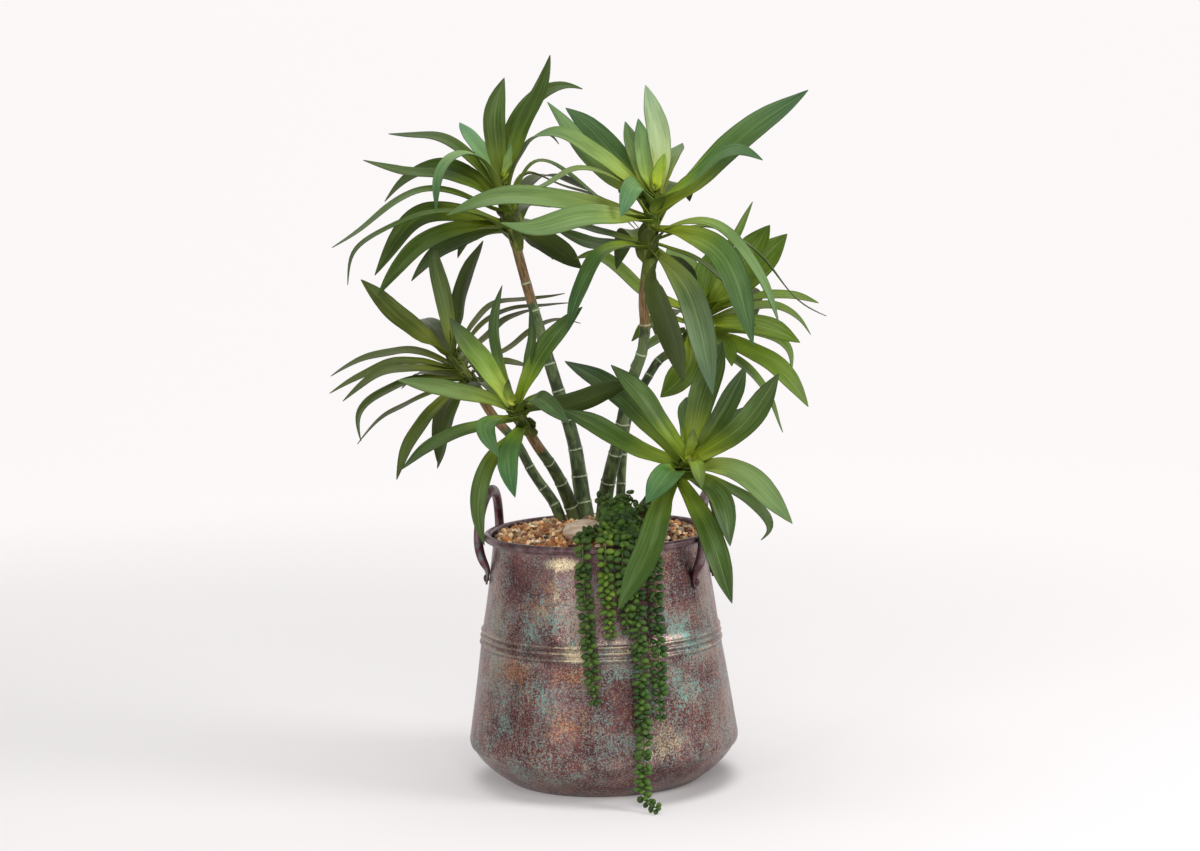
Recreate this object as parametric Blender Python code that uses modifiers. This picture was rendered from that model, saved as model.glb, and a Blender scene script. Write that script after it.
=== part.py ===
"""Potted yucca: a riveted sheet-metal pot with two strap handles, filled with potting mix and
pea gravel, holding six ringed canes with strap-leaf heads and a clump of trailing bead-leaved
sedum.  Metres, +Z up, origin in the middle of the pot's flat underside, front of the plant at -Y.
Tables of places are in millimetres and are turned into metres by mm()."""

import math

import bpy
import bmesh
import numpy as np
from mathutils import Matrix, Vector

MM = 0.001
GAP = 0.3                   # clearance between pieces that touch, mm

# ---- pot, mm
BASE_R = 98.0               # flat underside
FOOT_R = 136.5              # widest point
FOOT_Z = 41.0
FOOT_ROUND = 8.0
NECK_R = 107.5              # under the rim
NECK_Z = 234.0
RIM_R = 112.7               # middle of the rolled rim
RIM_Z = 247.8
RIM_BEAD = 4.0              # radius of the roll
SHEET = 1.6                 # wall thickness
BAND_Z = (154.0, 148.0, 141.5)   # raised bands around the wall
BAND_HEIGHT = 0.9
BAND_HALF = 1.6
POT_STEPS = 40

# ---- filling, mm
MIX_TOP = 224.0
GRAVEL_EDGE_R = 104.0
GRAVEL_EDGE_Z = 245.0
GRAVEL_RISE = 10.0          # the gravel is heaped this much in the middle
PEBBLE_AT = (-18.0, -58.0, 259.5)
PEBBLE_RADII = (22.0, 17.0, 12.5)

# ---- handles, mm: u across the handle, n out from the pot's axis, z up
HANDLE_AZIMUTHS = {"right": -15.0, "left": 165.0}
HANDLE_PATH = [(37.0, 108.2, 202.0), (37.1, 107.0, 211.0), (37.7, 110.4, 221.0), (37.8, 114.4, 232.0),
               (37.2, 116.0, 243.0), (35.8, 116.0, 254.0), (31.6, 115.3, 267.0), (23.5, 114.0, 279.5),
               (12.0, 113.0, 287.8), (0.0, 112.6, 290.3)]
# half width across the strap, half thickness, and how far the strap faces the wall (1) or out (0)
HANDLE_SECTION = [(4.6, 1.4, 1.0), (4.4, 1.4, 1.0), (4.8, 2.4, 0.8), (5.8, 3.2, 0.5), (6.2, 3.5, 0.3),
                  (6.2, 3.5, 0.1), (6.0, 3.5, 0.0), (5.9, 3.5, 0.0), (5.8, 3.5, 0.0), (5.6, 3.5, 0.0)]
RIVET_AZIMUTH = 18.9        # degrees either side of the handle's middle
RIVET_Z = 206.0
RIVET_R = 2.4
RIVET_HEAD = 4.0
PAD_OUT = 4.5               # from the wall to the outer face of a handle's foot

# ---- leaves
BLADE_HALF_THICK = 0.55     # mm, at the midrib
BASE_WIDTH = 0.45           # of the widest place
WIDEST_AT = 0.55            # along the blade
BLADE_STATIONS = (0.0, 0.12, 0.3, 0.5, 0.7, 0.88)
CORE_R = 3.0
COLLAR_IN = 3.5
COLLAR_OUT = 6.6
COLLAR_SIDES = 10
WHORLS = ("upper", "middle", "lower")

# Canes: (x, y, z, radius) from the buried foot to the neck under the leaves, mm
CANES = {
    "a": [(-2, 62, 130, 8.6), (-11, 60, 246, 8.8), (-16, 60, 276, 8.6), (-22, 60, 327, 7.3),
          (-38, 60, 388, 6.6), (-53, 60, 443, 5.8), (-68, 60, 500, 5.2), (-77, 60, 538, 5.0)],
    "b": [(4, 38, 130, 7.8), (4, 33, 250, 7.8), (10, 21, 293, 7.5), (18, 8, 325, 7.0), (26, -3, 358, 6.5),
          (37, -18, 404, 6.0), (47, -26, 431, 5.6), (51, -33, 461, 5.3), (50, -38, 484, 5.0),
          (55, -45, 522, 5.0)],
    "c": [(24, 66, 130, 5.0), (22, 62, 252, 5.0), (25, 62, 300, 4.8), (30, 64, 345, 4.6), (40, 67, 375, 4.5),
          (54, 70, 397, 4.5), (68, 76, 416, 4.6), (84, 80, 426, 4.8), (95, 80, 436, 5.0)],
    "d": [(-36, 52, 130, 5.8), (-38, 50, 252, 5.8), (-44, 50, 270, 5.6), (-56, 50, 289, 5.4),
          (-70, 50, 312, 5.0), (-82, 50, 336, 4.8), (-102, 50, 360, 4.8), (-122, 50, 395, 5.0)],
    "e": [(-24, 38, 130, 7.4), (-20, 42, 246, 7.4), (-26, 38, 266, 7.4), (-36, 24, 295, 6.6),
          (-48, 8, 320, 5.8), (-58, -12, 338, 5.4), (-67, -38, 358, 5.2)],
    "f": [(33, 8, 130, 7.2), (35, 6, 252, 7.2), (42, 0, 266, 7.2), (52, -15, 281, 7.0), (62, -42, 299, 6.4),
          (73, -75, 315, 5.6)],
}

# Heads.  crown is the top of the core that the whorls are threaded on, and centre is the point
# that the blades' places are counted from.  Each blade: (width, lean, places along its midrib).
# lean rolls the blade about its midrib, in degrees: its upper face turns towards the front.
HEADS = {
    "a": {
        "crown": (-92, 65, 607), "centre": (-89, 65, 601),
        "upper": [
            (9, 0, (4, -4, 22), (8, -8, 38)),
            (22, 0, (-7, 12, 65), (5, 25, 108)),
            (24, 60, (22, -4, 54), (39, -8, 90), (50, -10, 129)),
            (14, 10, (17, 18, 66), (66, 28, 98), (84, 30, 94)),
            (20, 0, (-26, 32, 40), (-45, 70, 62)),
            (20, 20, (-60, 22, 44), (-117, 34, 56)),
            (20, 10, (-28, -12, 28), (-54, -26, 22), (-68, -36, -26)),
            (9, 0, (34, 32, 46), (50, 40, 46), (58, 42, 38)),
        ],
        "middle": [
            (16, 5, (-58, 20, 20), (-93, 26, 13), (-122, 28, -17)),
            (20, 25, (-54, -5, 9), (-105, -4, 15), (-141, 0, 27)),
            (15, 10, (38, 4, 22), (85, 5, -4), (132, 0, -51)),
            (15, 5, (28, 26, 9), (53, 32, 1), (100, 38, -17), (137, 40, -52)),
            (20, 15, (-92, -16, -8), (-144, -16, -38), (-175, -14, -60)),
            (22, 0, (45, 62, 6), (92, 104, -14)),
            (22, 0, (-12, 75, 12), (-22, 148, -20)),
        ],
        "lower": [
            (24, 35, (-80, -6, -33), (-135, -12, -88)),
            (24, 35, (-73, -28, -53), (-127, -44, -110)),
            (16, 10, (-36, -34, -28), (-105, -44, -37), (-153, -46, -65), (-158, -46, -97)),
            (22, 15, (-49, 24, -56), (-99, 40, -100)),
            (26, -50, (46, 16, -65), (78, 22, -90)),
            (18, 0, (22, 46, -24), (46, 86, -28)),
            (22, 0, (34, 90, -50), (52, 134, -104)),
            (22, 0, (-30, 84, -40), (-58, 140, -96)),
        ],
    },
    "b": {
        "crown": (66, -50, 596), "centre": (64, -50, 595),
        "upper": [
            (9, 0, (4, -9, 12), (8, -12, 22)),
            (24, 0, (5, 10, 52), (-8, 18, 100)),
            (17, 70, (-11, 0, 38), (-16, 2, 68)),
            (16, 70, (-22, 8, 47), (-27, 12, 66)),
            (20, 0, (15, 18, 25), (28, 42, 44)),
            (22, 40, (54, -22, 27), (88, -32, 43), (101, -38, 27)),
            (20, 45, (-54, -6, 35), (-98, -10, 56), (-117, -12, 51)),
            (24, 50, (-49, 30, 47), (-87, 46, 79)),
            (20, 45, (-64, 10, 32), (-104, 14, 86)),
            (18, 10, (-22, -24, -1), (-32, -42, -33)),
        ],
        "middle": [
            (30, 60, (74, 6, 34), (150, 10, 94)),
            (14, 15, (-54, -20, 20), (-78, -24, 21), (-108, -24, 4), (-133, -22, -2)),
            (24, 45, (-93, -34, -8), (-167, -32, -7), (-203, -26, -19)),
            (24, 50, (-83, -52, -27), (-123, -58, -34), (-150, -60, -28)),
            (24, 0, (-18, 70, 16), (-36, 138, -8)),
            (22, 0, (24, 60, 2), (36, 112, -16)),
            (25, 10, (56, -40, -58), (90, -60, -151)),
            (12, 15, (52, -12, -34), (90, -22, -72), (117, -26, -133)),
        ],
        "lower": [
            (12, 10, (50, 12, -38), (102, 20, -73), (146, 28, -119), (169, 30, -129)),
            (14, 15, (56, 2, -84), (96, 4, -138)),
            (14, 20, (-54, 8, -41), (-98, 10, -34)),
            (18, 30, (-48, 34, -56), (-103, 44, -37)),
            (20, 20, (-54, -22, -60), (-78, -30, -98), (-88, -32, -134)),
            (26, 0, (32, -44, -107), (48, -70, -197)),
            (24, 180, (6, -24, -124), (22, -30, -188)),
            (14, 0, (26, 40, -76), (40, 52, -112)),
            (22, 0, (-26, 56, -44), (-44, 84, -100)),
        ],
    },
    "c": {
        "crown": (116, 80, 465), "centre": (112, 80, 463),
        "upper": [
            (14, 40, (33, 6, 75), (56, 12, 112)),
            (26, 70, (45, -6, 51), (72, -8, 88)),
            (24, 70, (60, 16, 48), (92, 20, 77)),
            (22, 0, (6, 18, 34), (12, 34, 62)),
            (20, 15, (65, -20, 17), (117, -38, 8)),
            (20, 30, (-73, -8, 35), (-114, -10, 62), (-129, -10, 59)),
        ],
        "middle": [
            (22, 0, (-14, 52, 44), (-30, 94, 66)),
            (16, 20, (68, 12, 2), (103, 14, -10), (115, 14, -26)),
            (22, 35, (56, -44, -12), (96, -64, -28)),
            (24, 0, (40, 58, 16), (66, 122, -12)),
            (22, 0, (-26, 62, 0), (-44, 122, -34)),
            (16, 20, (-54, -16, -8), (-74, -18, -26)),
        ],
        "lower": [
            (18, 25, (64, 4, -26), (92, 6, -44), (94, 6, -66)),
            (20, 35, (60, -30, -44), (104, -42, -97)),
            (22, 30, (56, 26, -76), (86, 34, -130)),
            (16, 10, (20, -30, -30), (28, -44, -52)),
            (20, 30, (-52, 30, -34), (-74, 40, -58)),
            (24, 20, (-16, -32, -54), (-46, -46, -82)),
            (22, 0, (8, 76, -46), (16, 120, -98)),
        ],
    },
    "d": {
        "crown": (-150, 50, 431), "centre": (-145, 50, 415),
        "upper": [
            (24, 50, (-42, -6, 46), (-91, -10, 92)),
            (22, 50, (-7, -6, 70), (-15, -8, 131)),
            (22, -50, (13, 8, 78), (33, 12, 129)),
            (14, 10, (44, 28, 61), (76, 36, 67), (116, 40, 72)),
            (12, 10, (49, 20, 54), (95, 40, 61), (121, 44, 60)),
            (22, 0, (-24, 56, 40), (-46, 110, 44)),
        ],
        "middle": [
            (12, 10, (50, 32, 42), (90, 50, 55)),
            (15, 10, (-48, 12, 18), (-99, 16, 8), (-126, 18, -8)),
            (15, 10, (-62, -4, 7), (-126, -4, -23)),
            (15, 10, (-60, -22, 0), (-112, -26, -28)),
            (12, 10, (50, 14, 14), (80, 24, 31), (110, 40, 44), (132, 44, 41)),
            (22, 0, (14, 70, 12), (22, 132, -26)),
        ],
        "lower": [
            (14, 20, (54, 2, 4), (79, 8, -2)),
            (20, 20, (-32, 36, -8), (-60, 70, -26)),
            (18, 15, (-66, -18, -18), (-97, -24, -43), (-94, -24, -70)),
            (14, 15, (-67, 8, -46), (-101, 12, -78)),
            (20, 15, (-36, -28, -58), (-58, -38, -109)),
            (16, 45, (-10, 4, -66), (-20, 6, -104)),
            (22, 0, (-14, 66, -50), (-26, 100, -110)),
            (22, 0, (46, 56, -34), (74, 92, -84)),
        ],
    },
    "e": {
        "crown": (-82, -65, 390), "centre": (-82, -65, 387),
        "upper": [
            (26, 60, (-30, 0, 45), (-57, 4, 88)),
            (14, 30, (-16, 10, 74), (-5, 16, 117)),
            (14, 40, (20, 8, 60), (18, 10, 107)),
            (22, 50, (34, 0, 54), (72, 6, 94)),
            (22, 40, (-59, -5, 18), (-111, -10, 27)),
            (22, 20, (24, -26, 8), (57, -50, -12)),
        ],
        "middle": [
            (24, -55, (66, -8, 3), (121, -14, 20)),
            (20, 0, (-26, 52, 16), (-44, 98, 4)),
            (18, 10, (-24, -30, -17), (-12, -42, -46)),
            (20, 25, (-60, -6, -27), (-109, -12, -59)),
            (20, 0, (32, 44, 2), (58, 78, -22)),
        ],
        "lower": [
            (20, 0, (-3, -30, -46), (2, -38, -86)),
            (16, 30, (-31, -16, -67), (-35, -22, -112), (-29, -26, -134)),
        ],
    },
    "f": {
        "crown": (90, -110, 334), "centre": (90, -110, 332),
        "upper": [
            (9, 0, (1, -9, 14), (4, -12, 27)),
            (22, 50, (-38, 0, 54), (-74, 4, 96)),
            (26, 30, (18, 22, 66), (34, 36, 114)),
            (22, 60, (38, 4, 57), (55, 10, 92)),
            (24, 55, (57, -16, 46), (87, -18, 85)),
            (9, 10, (5, -18, 2), (10, -30, -22)),
            (22, 0, (4, 54, 34), (2, 100, 52)),
        ],
        "middle": [
            (24, 30, (-58, 42, 52), (-118, 84, 95)),
            (22, 45, (-66, 4, 22), (-125, 16, 54)),
            (24, 35, (55, -30, -12), (95, -45, -55)),
            (24, 20, (-22, -26, -8), (-44, -46, -32)),
            (22, 0, (38, 44, 30), (68, 80, 48)),
        ],
        "lower": [
            (16, 15, (60, -8, -40), (74, -8, -66), (66, -8, -76)),
            (22, 10, (28, -30, -36), (36, -42, -76)),
            (22, 20, (17, -20, -68), (37, -34, -133)),
            (26, 10, (-42, -34, -72), (-72, -46, -134)),
        ],
    },
}

# Sedum: the clump's middle and radii, and each strand's place across the front (x at the rim
# and at its end) and the height of its end, mm.  Strands lie on the pot.
CLUMP_AT = (24.0, -50.0, 262.0)
CLUMP_RADII = (19.0, 36.0, 26.0)
STRAND_R = 7.0
STRAND_LIFT = 8.0           # from the wall to the strand's middle
STRANDS = {
    "1": {"rim_x": -16.0, "end_x": -8.0, "end_z": 105.0, "top": [(4.0, -80.0, 262.0), (-8.0, -91.0, 262.0)]},
    "2": {"rim_x": 2.0, "end_x": 8.0, "end_z": 168.0, "top": [(14.0, -86.0, 269.0), (7.0, -95.0, 264.0)]},
    "3": {"rim_x": 19.0, "end_x": 24.0, "end_z": 172.0, "top": [(26.0, -84.0, 266.0), (22.0, -94.0, 263.0)]},
    "4": {"rim_x": 54.0, "end_x": 56.0, "end_z": 86.0, "top": [(42.0, -54.0, 264.0), (52.0, -76.0, 260.0)]},
    "5": {"rim_x": 36.0, "end_x": 39.0, "end_z": 40.0, "top": [(38.0, -72.0, 262.0), (38.0, -88.0, 261.0)]},
}
FLOOR_RUN = [(36.0, -147.0, 24.0), (42.0, -149.0, 11.0), (52.0, -147.0, 8.0), (60.0, -145.0, 7.6)]

FINISHES = {                 # base colour, roughness, metallic
    "pot_metal": ((0.24, 0.15, 0.15), 0.42, 0.75),
    "handle_metal": ((0.22, 0.13, 0.13), 0.4, 0.75),
    "rivet_metal": ((0.15, 0.10, 0.09), 0.45, 0.8),
    "mix": ((0.09, 0.06, 0.04), 0.95, 0.0),
    "gravel": ((0.55, 0.38, 0.24), 0.8, 0.0),
    "pebble": ((0.58, 0.48, 0.38), 0.6, 0.0),
    "cane": ((0.10, 0.14, 0.05), 0.5, 0.0),
    "leaf": ((0.12, 0.25, 0.07), 0.45, 0.0),
    "sedum": ((0.12, 0.28, 0.05), 0.4, 0.0),
}


def mm(point):
    return Vector(point) * MM


def finish(obj, name):
    material = bpy.data.materials.get(name)
    if material is None:
        colour, roughness, metallic = FINISHES[name]
        material = bpy.data.materials.new(name)
        material.use_nodes = True
        shader = material.node_tree.nodes["Principled BSDF"]
        shader.inputs["Base Color"].default_value = (*colour, 1.0)
        shader.inputs["Roughness"].default_value = roughness
        shader.inputs["Metallic"].default_value = metallic
    obj.data.materials.clear()
    obj.data.materials.append(material)


def as_cutter(obj):
    obj.hide_render = True
    obj.display_type = "WIRE"
    return obj


def to_mesh_outward(bm, mesh):
    bmesh.ops.recalc_face_normals(bm, faces=bm.faces)
    bm.to_mesh(mesh)
    bm.free()


def object_from_bmesh(bm, name, collection):
    mesh = bpy.data.meshes.new(name)
    to_mesh_outward(bm, mesh)
    obj = bpy.data.objects.new(name, mesh)
    collection.objects.link(obj)
    return obj


def apply_modifiers(obj):
    """Replace the object's mesh by its evaluated mesh and clear the modifiers."""
    depsgraph = bpy.context.evaluated_depsgraph_get()
    mesh = bpy.data.meshes.new_from_object(obj.evaluated_get(depsgraph))
    obj.modifiers.clear()
    obj.data = mesh


def boolean(obj, other, operation):
    modifier = obj.modifiers.new(operation.lower(), "BOOLEAN")
    modifier.operation = operation
    modifier.solver = "EXACT"
    modifier.object = other


def loft(rings, tip, name, collection):
    """A closed solid through rings of equal point counts, capped at its ends or run to a tip.
    The diagonals lie alike on both faces, so that a thin twisted blade never cuts itself."""
    bm = bmesh.new()
    loops = [[bm.verts.new(mm(point)) for point in ring] for ring in rings]
    count = len(loops[0])
    for lower, upper in zip(loops, loops[1:]):
        for i in range(count):
            j = (i + 1) % count
            if i % 2 == 0:
                bm.faces.new((lower[i], lower[j], upper[j]))
                bm.faces.new((lower[i], upper[j], upper[i]))
            else:
                bm.faces.new((lower[i], lower[j], upper[i]))
                bm.faces.new((lower[j], upper[j], upper[i]))
    bm.faces.new(reversed(loops[0]))
    if tip is None:
        bm.faces.new(loops[-1])
    else:
        point = bm.verts.new(mm(tip))
        for i in range(count):
            bm.faces.new((loops[-1][i], loops[-1][(i + 1) % count], point))
    return object_from_bmesh(bm, name, collection)


def turned(profile, name, collection, steps=POT_STEPS, ring=False):
    """A solid of revolution from (radius, z) points: closed as a ring, or ending on the axis."""
    mesh = bpy.data.meshes.new(name)
    points = [(r * MM, 0.0, z * MM) for r, z in profile]
    edges = [(i, i + 1) for i in range(len(points) - 1)]
    if ring:
        edges.append((len(points) - 1, 0))
    mesh.from_pydata(points, edges, [])
    obj = bpy.data.objects.new(name, mesh)
    collection.objects.link(obj)
    screw = obj.modifiers.new("turn", "SCREW")
    screw.steps = steps
    screw.render_steps = steps
    screw.use_merge_vertices = True
    screw.merge_threshold = 0.00001
    apply_modifiers(obj)
    bm = bmesh.new()
    bm.from_mesh(obj.data)
    to_mesh_outward(bm, obj.data)
    return obj


def ball(centre, radii, name, collection, segments=20, rings=12):
    bm = bmesh.new()
    bmesh.ops.create_uvsphere(bm, u_segments=segments, v_segments=rings, radius=1.0)
    place = Matrix.Translation(mm(centre)) @ Matrix.Diagonal((*(mm(radii)), 1.0))
    bmesh.ops.transform(bm, matrix=place, verts=bm.verts)
    return object_from_bmesh(bm, name, collection)


def natural_spline(points, samples):
    """Points of a natural cubic spline through the given ones, at fractions of its chord length."""
    p = np.array(points, dtype=float)
    knots = np.concatenate([[0.0], np.cumsum(np.linalg.norm(np.diff(p, axis=0), axis=1))])
    count = len(p)
    step = np.diff(knots)
    system = np.eye(count)
    right = np.zeros_like(p)
    for i in range(1, count - 1):
        system[i, i - 1] = step[i - 1]
        system[i, i] = 2.0 * (step[i - 1] + step[i])
        system[i, i + 1] = step[i]
        right[i] = 6.0 * ((p[i + 1] - p[i]) / step[i] - (p[i] - p[i - 1]) / step[i - 1])
    bend = np.linalg.solve(system, right)
    result = []
    for fraction in samples:
        at = fraction * knots[-1]
        i = min(max(int(np.searchsorted(knots, at)) - 1, 0), count - 2)
        h = step[i]
        a = (knots[i + 1] - at) / h
        b = (at - knots[i]) / h
        result.append(a * p[i] + b * p[i + 1]
                      + ((a ** 3 - a) * bend[i] + (b ** 3 - b) * bend[i + 1]) * h * h / 6.0)
    return result


def unit(vector):
    return vector / np.linalg.norm(vector)


def tube(points, radii, name, collection, resolution=3):
    """A capped tube mesh along a POLY curve, with its own radius at each point."""
    curve = bpy.data.curves.new(name, "CURVE")
    curve.dimensions = "3D"
    curve.bevel_depth = MM
    curve.bevel_resolution = resolution
    curve.use_fill_caps = True
    spline = curve.splines.new("POLY")
    spline.points.add(len(points) - 1)
    for target, point, radius in zip(spline.points, points, radii):
        target.co = (*mm(point), 1.0)
        target.radius = radius
    holder = bpy.data.objects.new(name + "_curve", curve)
    collection.objects.link(holder)
    depsgraph = bpy.context.evaluated_depsgraph_get()
    mesh = bpy.data.meshes.new_from_object(holder.evaluated_get(depsgraph))
    bpy.data.objects.remove(holder)
    bm = bmesh.new()
    bm.from_mesh(mesh)
    bmesh.ops.remove_doubles(bm, verts=bm.verts, dist=0.00001)
    return object_from_bmesh(bm, name, collection)


# ---------------------------------------------------------------- pot and its fittings

def arc(centre, radius, start, end, count):
    """Points on an arc from start to end degrees, as (r, z)."""
    angles = [math.radians(start + (end - start) * i / (count - 1)) for i in range(count)]
    return [(centre[0] + radius * math.cos(a), centre[1] + radius * math.sin(a)) for a in angles]


def wall_radius(z):
    """Outer radius of the straight wall at a height, or of the bevel below it."""
    if z >= FOOT_Z:
        return FOOT_R + (NECK_R - FOOT_R) * (z - FOOT_Z) / (NECK_Z - FOOT_Z)
    return BASE_R + (FOOT_R - BASE_R) * z / FOOT_Z


def pot_profiles():
    """The outer wall from rim to base, and the inner wall from rim to base, as (r, z)."""
    lean = math.degrees(math.atan2(FOOT_R - NECK_R, NECK_Z - FOOT_Z))
    bevel = math.degrees(math.atan2(FOOT_Z, FOOT_R - BASE_R))
    turn = arc((FOOT_R - FOOT_ROUND, FOOT_Z), FOOT_ROUND, lean, bevel - 90.0, 4)
    outer = [(NECK_R, NECK_Z)]
    for z in BAND_Z:
        r = wall_radius(z)
        outer += [(r, z + BAND_HALF), (r + BAND_HEIGHT, z), (r, z - BAND_HALF)]
    outer += turn + [(BASE_R + 1.5, 1.0), (BASE_R, 0.0)]
    inner = [(NECK_R - SHEET, NECK_Z)]
    inner += [(r - SHEET * 0.95, z + SHEET * 0.3) for r, z in turn]
    inner += [(BASE_R - 0.5, SHEET)]
    return outer, inner


def build_pot(collection):
    outer, inner = pot_profiles()
    rim = arc((RIM_R, RIM_Z), RIM_BEAD, 215.0, -55.0, 10)
    profile = [(0.0, SHEET)] + inner[::-1] + rim + outer + [(0.0, 0.0)]
    pot = turned(profile, "pot", collection)
    finish(pot, "pot_metal")
    return pot


def fill_profile(bottom, top, edge_gap=GAP):
    """The space inside the pot between two heights, as (r, z) from the axis out and up."""
    _, inner = pot_profiles()
    inside = [(r - edge_gap, z) for r, z in inner[::-1]]
    heights = [z for _, z in inside]
    radii = [r for r, _ in inside]

    def at(z):
        return float(np.interp(z, heights, radii))

    between = [(r, z) for r, z in inside if bottom < z < top]
    return [(at(bottom), bottom)] + between + [(at(top), top)]


def gravel_top(lift=0.0):
    """The heaped top of the gravel from its edge to the axis."""
    points = []
    for share in np.linspace(0.0, 1.0, 7):
        height = GRAVEL_EDGE_Z + GRAVEL_RISE * (1.0 - (1.0 - share) ** 2) + lift
        points.append((GRAVEL_EDGE_R * (1.0 - share), height))
    return points


def build_filling(collection, cutters):
    side = fill_profile(SHEET + GAP, MIX_TOP)
    profile = [(0.0, SHEET + GAP)] + side + [(0.0, MIX_TOP)]
    mix = turned(profile, "potting_mix", collection)
    finish(mix, "mix")
    bottom = MIX_TOP + GAP
    side = fill_profile(bottom, NECK_Z)
    profile = [(0.0, bottom)] + side + gravel_top()
    gravel = turned(profile, "gravel_topping", collection)
    finish(gravel, "gravel")
    pebble = ball(PEBBLE_AT, PEBBLE_RADII, "pebble", collection)
    finish(pebble, "pebble")
    seat = ball(PEBBLE_AT, [r + GAP for r in PEBBLE_RADII], "pebble_seat", cutters)
    boolean(gravel, as_cutter(seat), "DIFFERENCE")
    return mix, gravel


def handle_place(azimuth, u, n, z):
    a = math.radians(azimuth)
    outward = np.array([math.cos(a), math.sin(a), 0.0])
    across = np.array([-math.sin(a), math.cos(a), 0.0])
    return outward * n + across * u + np.array([0.0, 0.0, z])


def build_handles(collection, cutters, pot):
    stations = np.linspace(0.0, 1.0, 12)
    rows = [(*place, *section) for place, section in zip(HANDLE_PATH, HANDLE_SECTION)]
    half = natural_spline(rows, stations)
    path = half + [row * np.array([-1.0, 1.0, 1.0, 1.0, 1.0, 1.0]) for row in half[-2::-1]]
    for side, azimuth in HANDLE_AZIMUTHS.items():
        rings = []
        for i, (u, n, z, half_wide, half_thick, faces_wall) in enumerate(path):
            along = unit(path[min(i + 1, len(path) - 1)][:3] - path[max(i - 1, 0)][:3])
            ahead = np.array([0.0, 1.0 - faces_wall, 0.0])
            outward = unit(ahead + unit(np.array([u, n, 0.0])) * faces_wall)
            wide = unit(np.cross(along, outward))
            deep = unit(np.cross(wide, along))
            ring = []
            for k in range(8):
                angle = math.pi * (k + 0.5) / 4.0
                spot = wide * half_wide * math.cos(angle) + deep * half_thick * math.sin(angle)
                ring.append(handle_place(azimuth, *(np.array([u, n, z]) + spot)))
            rings.append(ring)
        strap = loft(rings, None, "handle_" + side, collection)
        finish(strap, "handle_metal")
        for turn in (-RIVET_AZIMUTH, RIVET_AZIMUTH):
            end = "front" if (turn < 0.0) == (side == "right") else "rear"
            build_rivet(azimuth + turn, side + "_" + end, (strap, pot), collection, cutters)


def rivet_turned(azimuth, profile, name, collection):
    """A small turned piece whose axis points out of the pot's wall at a rivet."""
    piece = turned(profile, name, collection, steps=10)
    lie = Matrix.Rotation(math.radians(azimuth), 4, "Z") @ Matrix.Rotation(math.radians(90.0), 4, "Y")
    piece.data.transform(Matrix.Translation((0.0, 0.0, RIVET_Z * MM)) @ lie)
    return piece


def build_rivet(azimuth, label, holed, collection, cutters):
    """A shank through the wall and the handle's foot, with a domed head outside."""
    wall = wall_radius(RIVET_Z)
    tail = wall - SHEET + 0.4
    seat = wall + PAD_OUT
    dome = arc((0.0, seat), RIVET_HEAD, 90.0, 0.0, 4)
    dome = [(r, seat + (z - seat) * 0.6) for r, z in dome]
    rivet = rivet_turned(azimuth, dome + [(RIVET_R, seat), (RIVET_R, tail), (0.0, tail)],
                         "rivet_" + label, collection)
    finish(rivet, "rivet_metal")
    bore = [(0.0, seat + 1.0), (RIVET_R + GAP, seat + 1.0), (RIVET_R + GAP, tail - 3.0), (0.0, tail - 3.0)]
    hole = rivet_turned(azimuth, bore, "rivet_hole_" + label, cutters)
    for piece in holed:
        boolean(piece, as_cutter(hole), "DIFFERENCE")


# ---------------------------------------------------------------- canes and leaves

def cane_curve(key):
    """Smooth places and radii from the buried foot to the neck."""
    rows = natural_spline(CANES[key], np.linspace(0.0, 1.0, 15))
    return [row[:3] for row in rows], [float(row[3]) for row in rows]


def build_cane(key, collection, cutters, fillings):
    points, radii = cane_curve(key)
    neck = points[-1]
    crown = np.array(HEADS[key]["crown"], dtype=float)
    core_way = unit(crown - neck)
    shoulder = neck + core_way * 0.6
    core_end = crown + core_way * 1.0
    cane = tube(points + [shoulder, core_end], radii + [CORE_R, CORE_R], "cane_" + key, collection)
    finish(cane, "cane")
    deeper = points[0] + unit(points[0] - points[1]) * GAP
    hole = tube([deeper] + points[1:9], [r + GAP for r in radii[:9]], "cane_hole_" + key, cutters)
    for filling in fillings:
        boolean(filling, as_cutter(hole), "DIFFERENCE")


def blade_width(t):
    """Share of the full width at t along a blade."""
    if t < WIDEST_AT:
        rise = math.sin(0.5 * math.pi * t / WIDEST_AT)
        return BASE_WIDTH + (1.0 - BASE_WIDTH) * rise ** 1.3
    fall = (t - WIDEST_AT) / (1.0 - WIDEST_AT)
    return (1.0 - fall ** 2.4) ** 0.9


def blade_frames(base, places, root_side, lean, stations):
    """For each station: the midrib point, the way across the blade and the upper face's normal.
    The blade leaves the collar flat against it and has turned to its own lean a third of the way."""
    fine = natural_spline([base] + places, np.linspace(0.0, 1.0, 41))
    reach = fine[-1] - fine[0]
    across = unit(np.array([-reach[1], reach[0], 0.0]))
    if np.dot(across, root_side) < 0.0:
        across = -across
    towards_front = 1.0 if across[1] < 0.0 else -1.0
    frames = []
    for t in stations:
        i = min(max(int(round(t * 40)), 1), 39)
        along = unit(fine[i + 1] - fine[i - 1])
        turned_away = min(1.0, t / 0.35)
        side = root_side * (1.0 - turned_away) + across * turned_away
        side = unit(side - along * np.dot(side, along))
        up = np.cross(along, side)
        roll = math.radians(lean) * turned_away
        normal = up * math.cos(roll) + side * (towards_front * math.sin(roll))
        frames.append((fine[int(round(t * 40))], unit(np.cross(normal, along)), normal))
    return frames, fine[-1]


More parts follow.
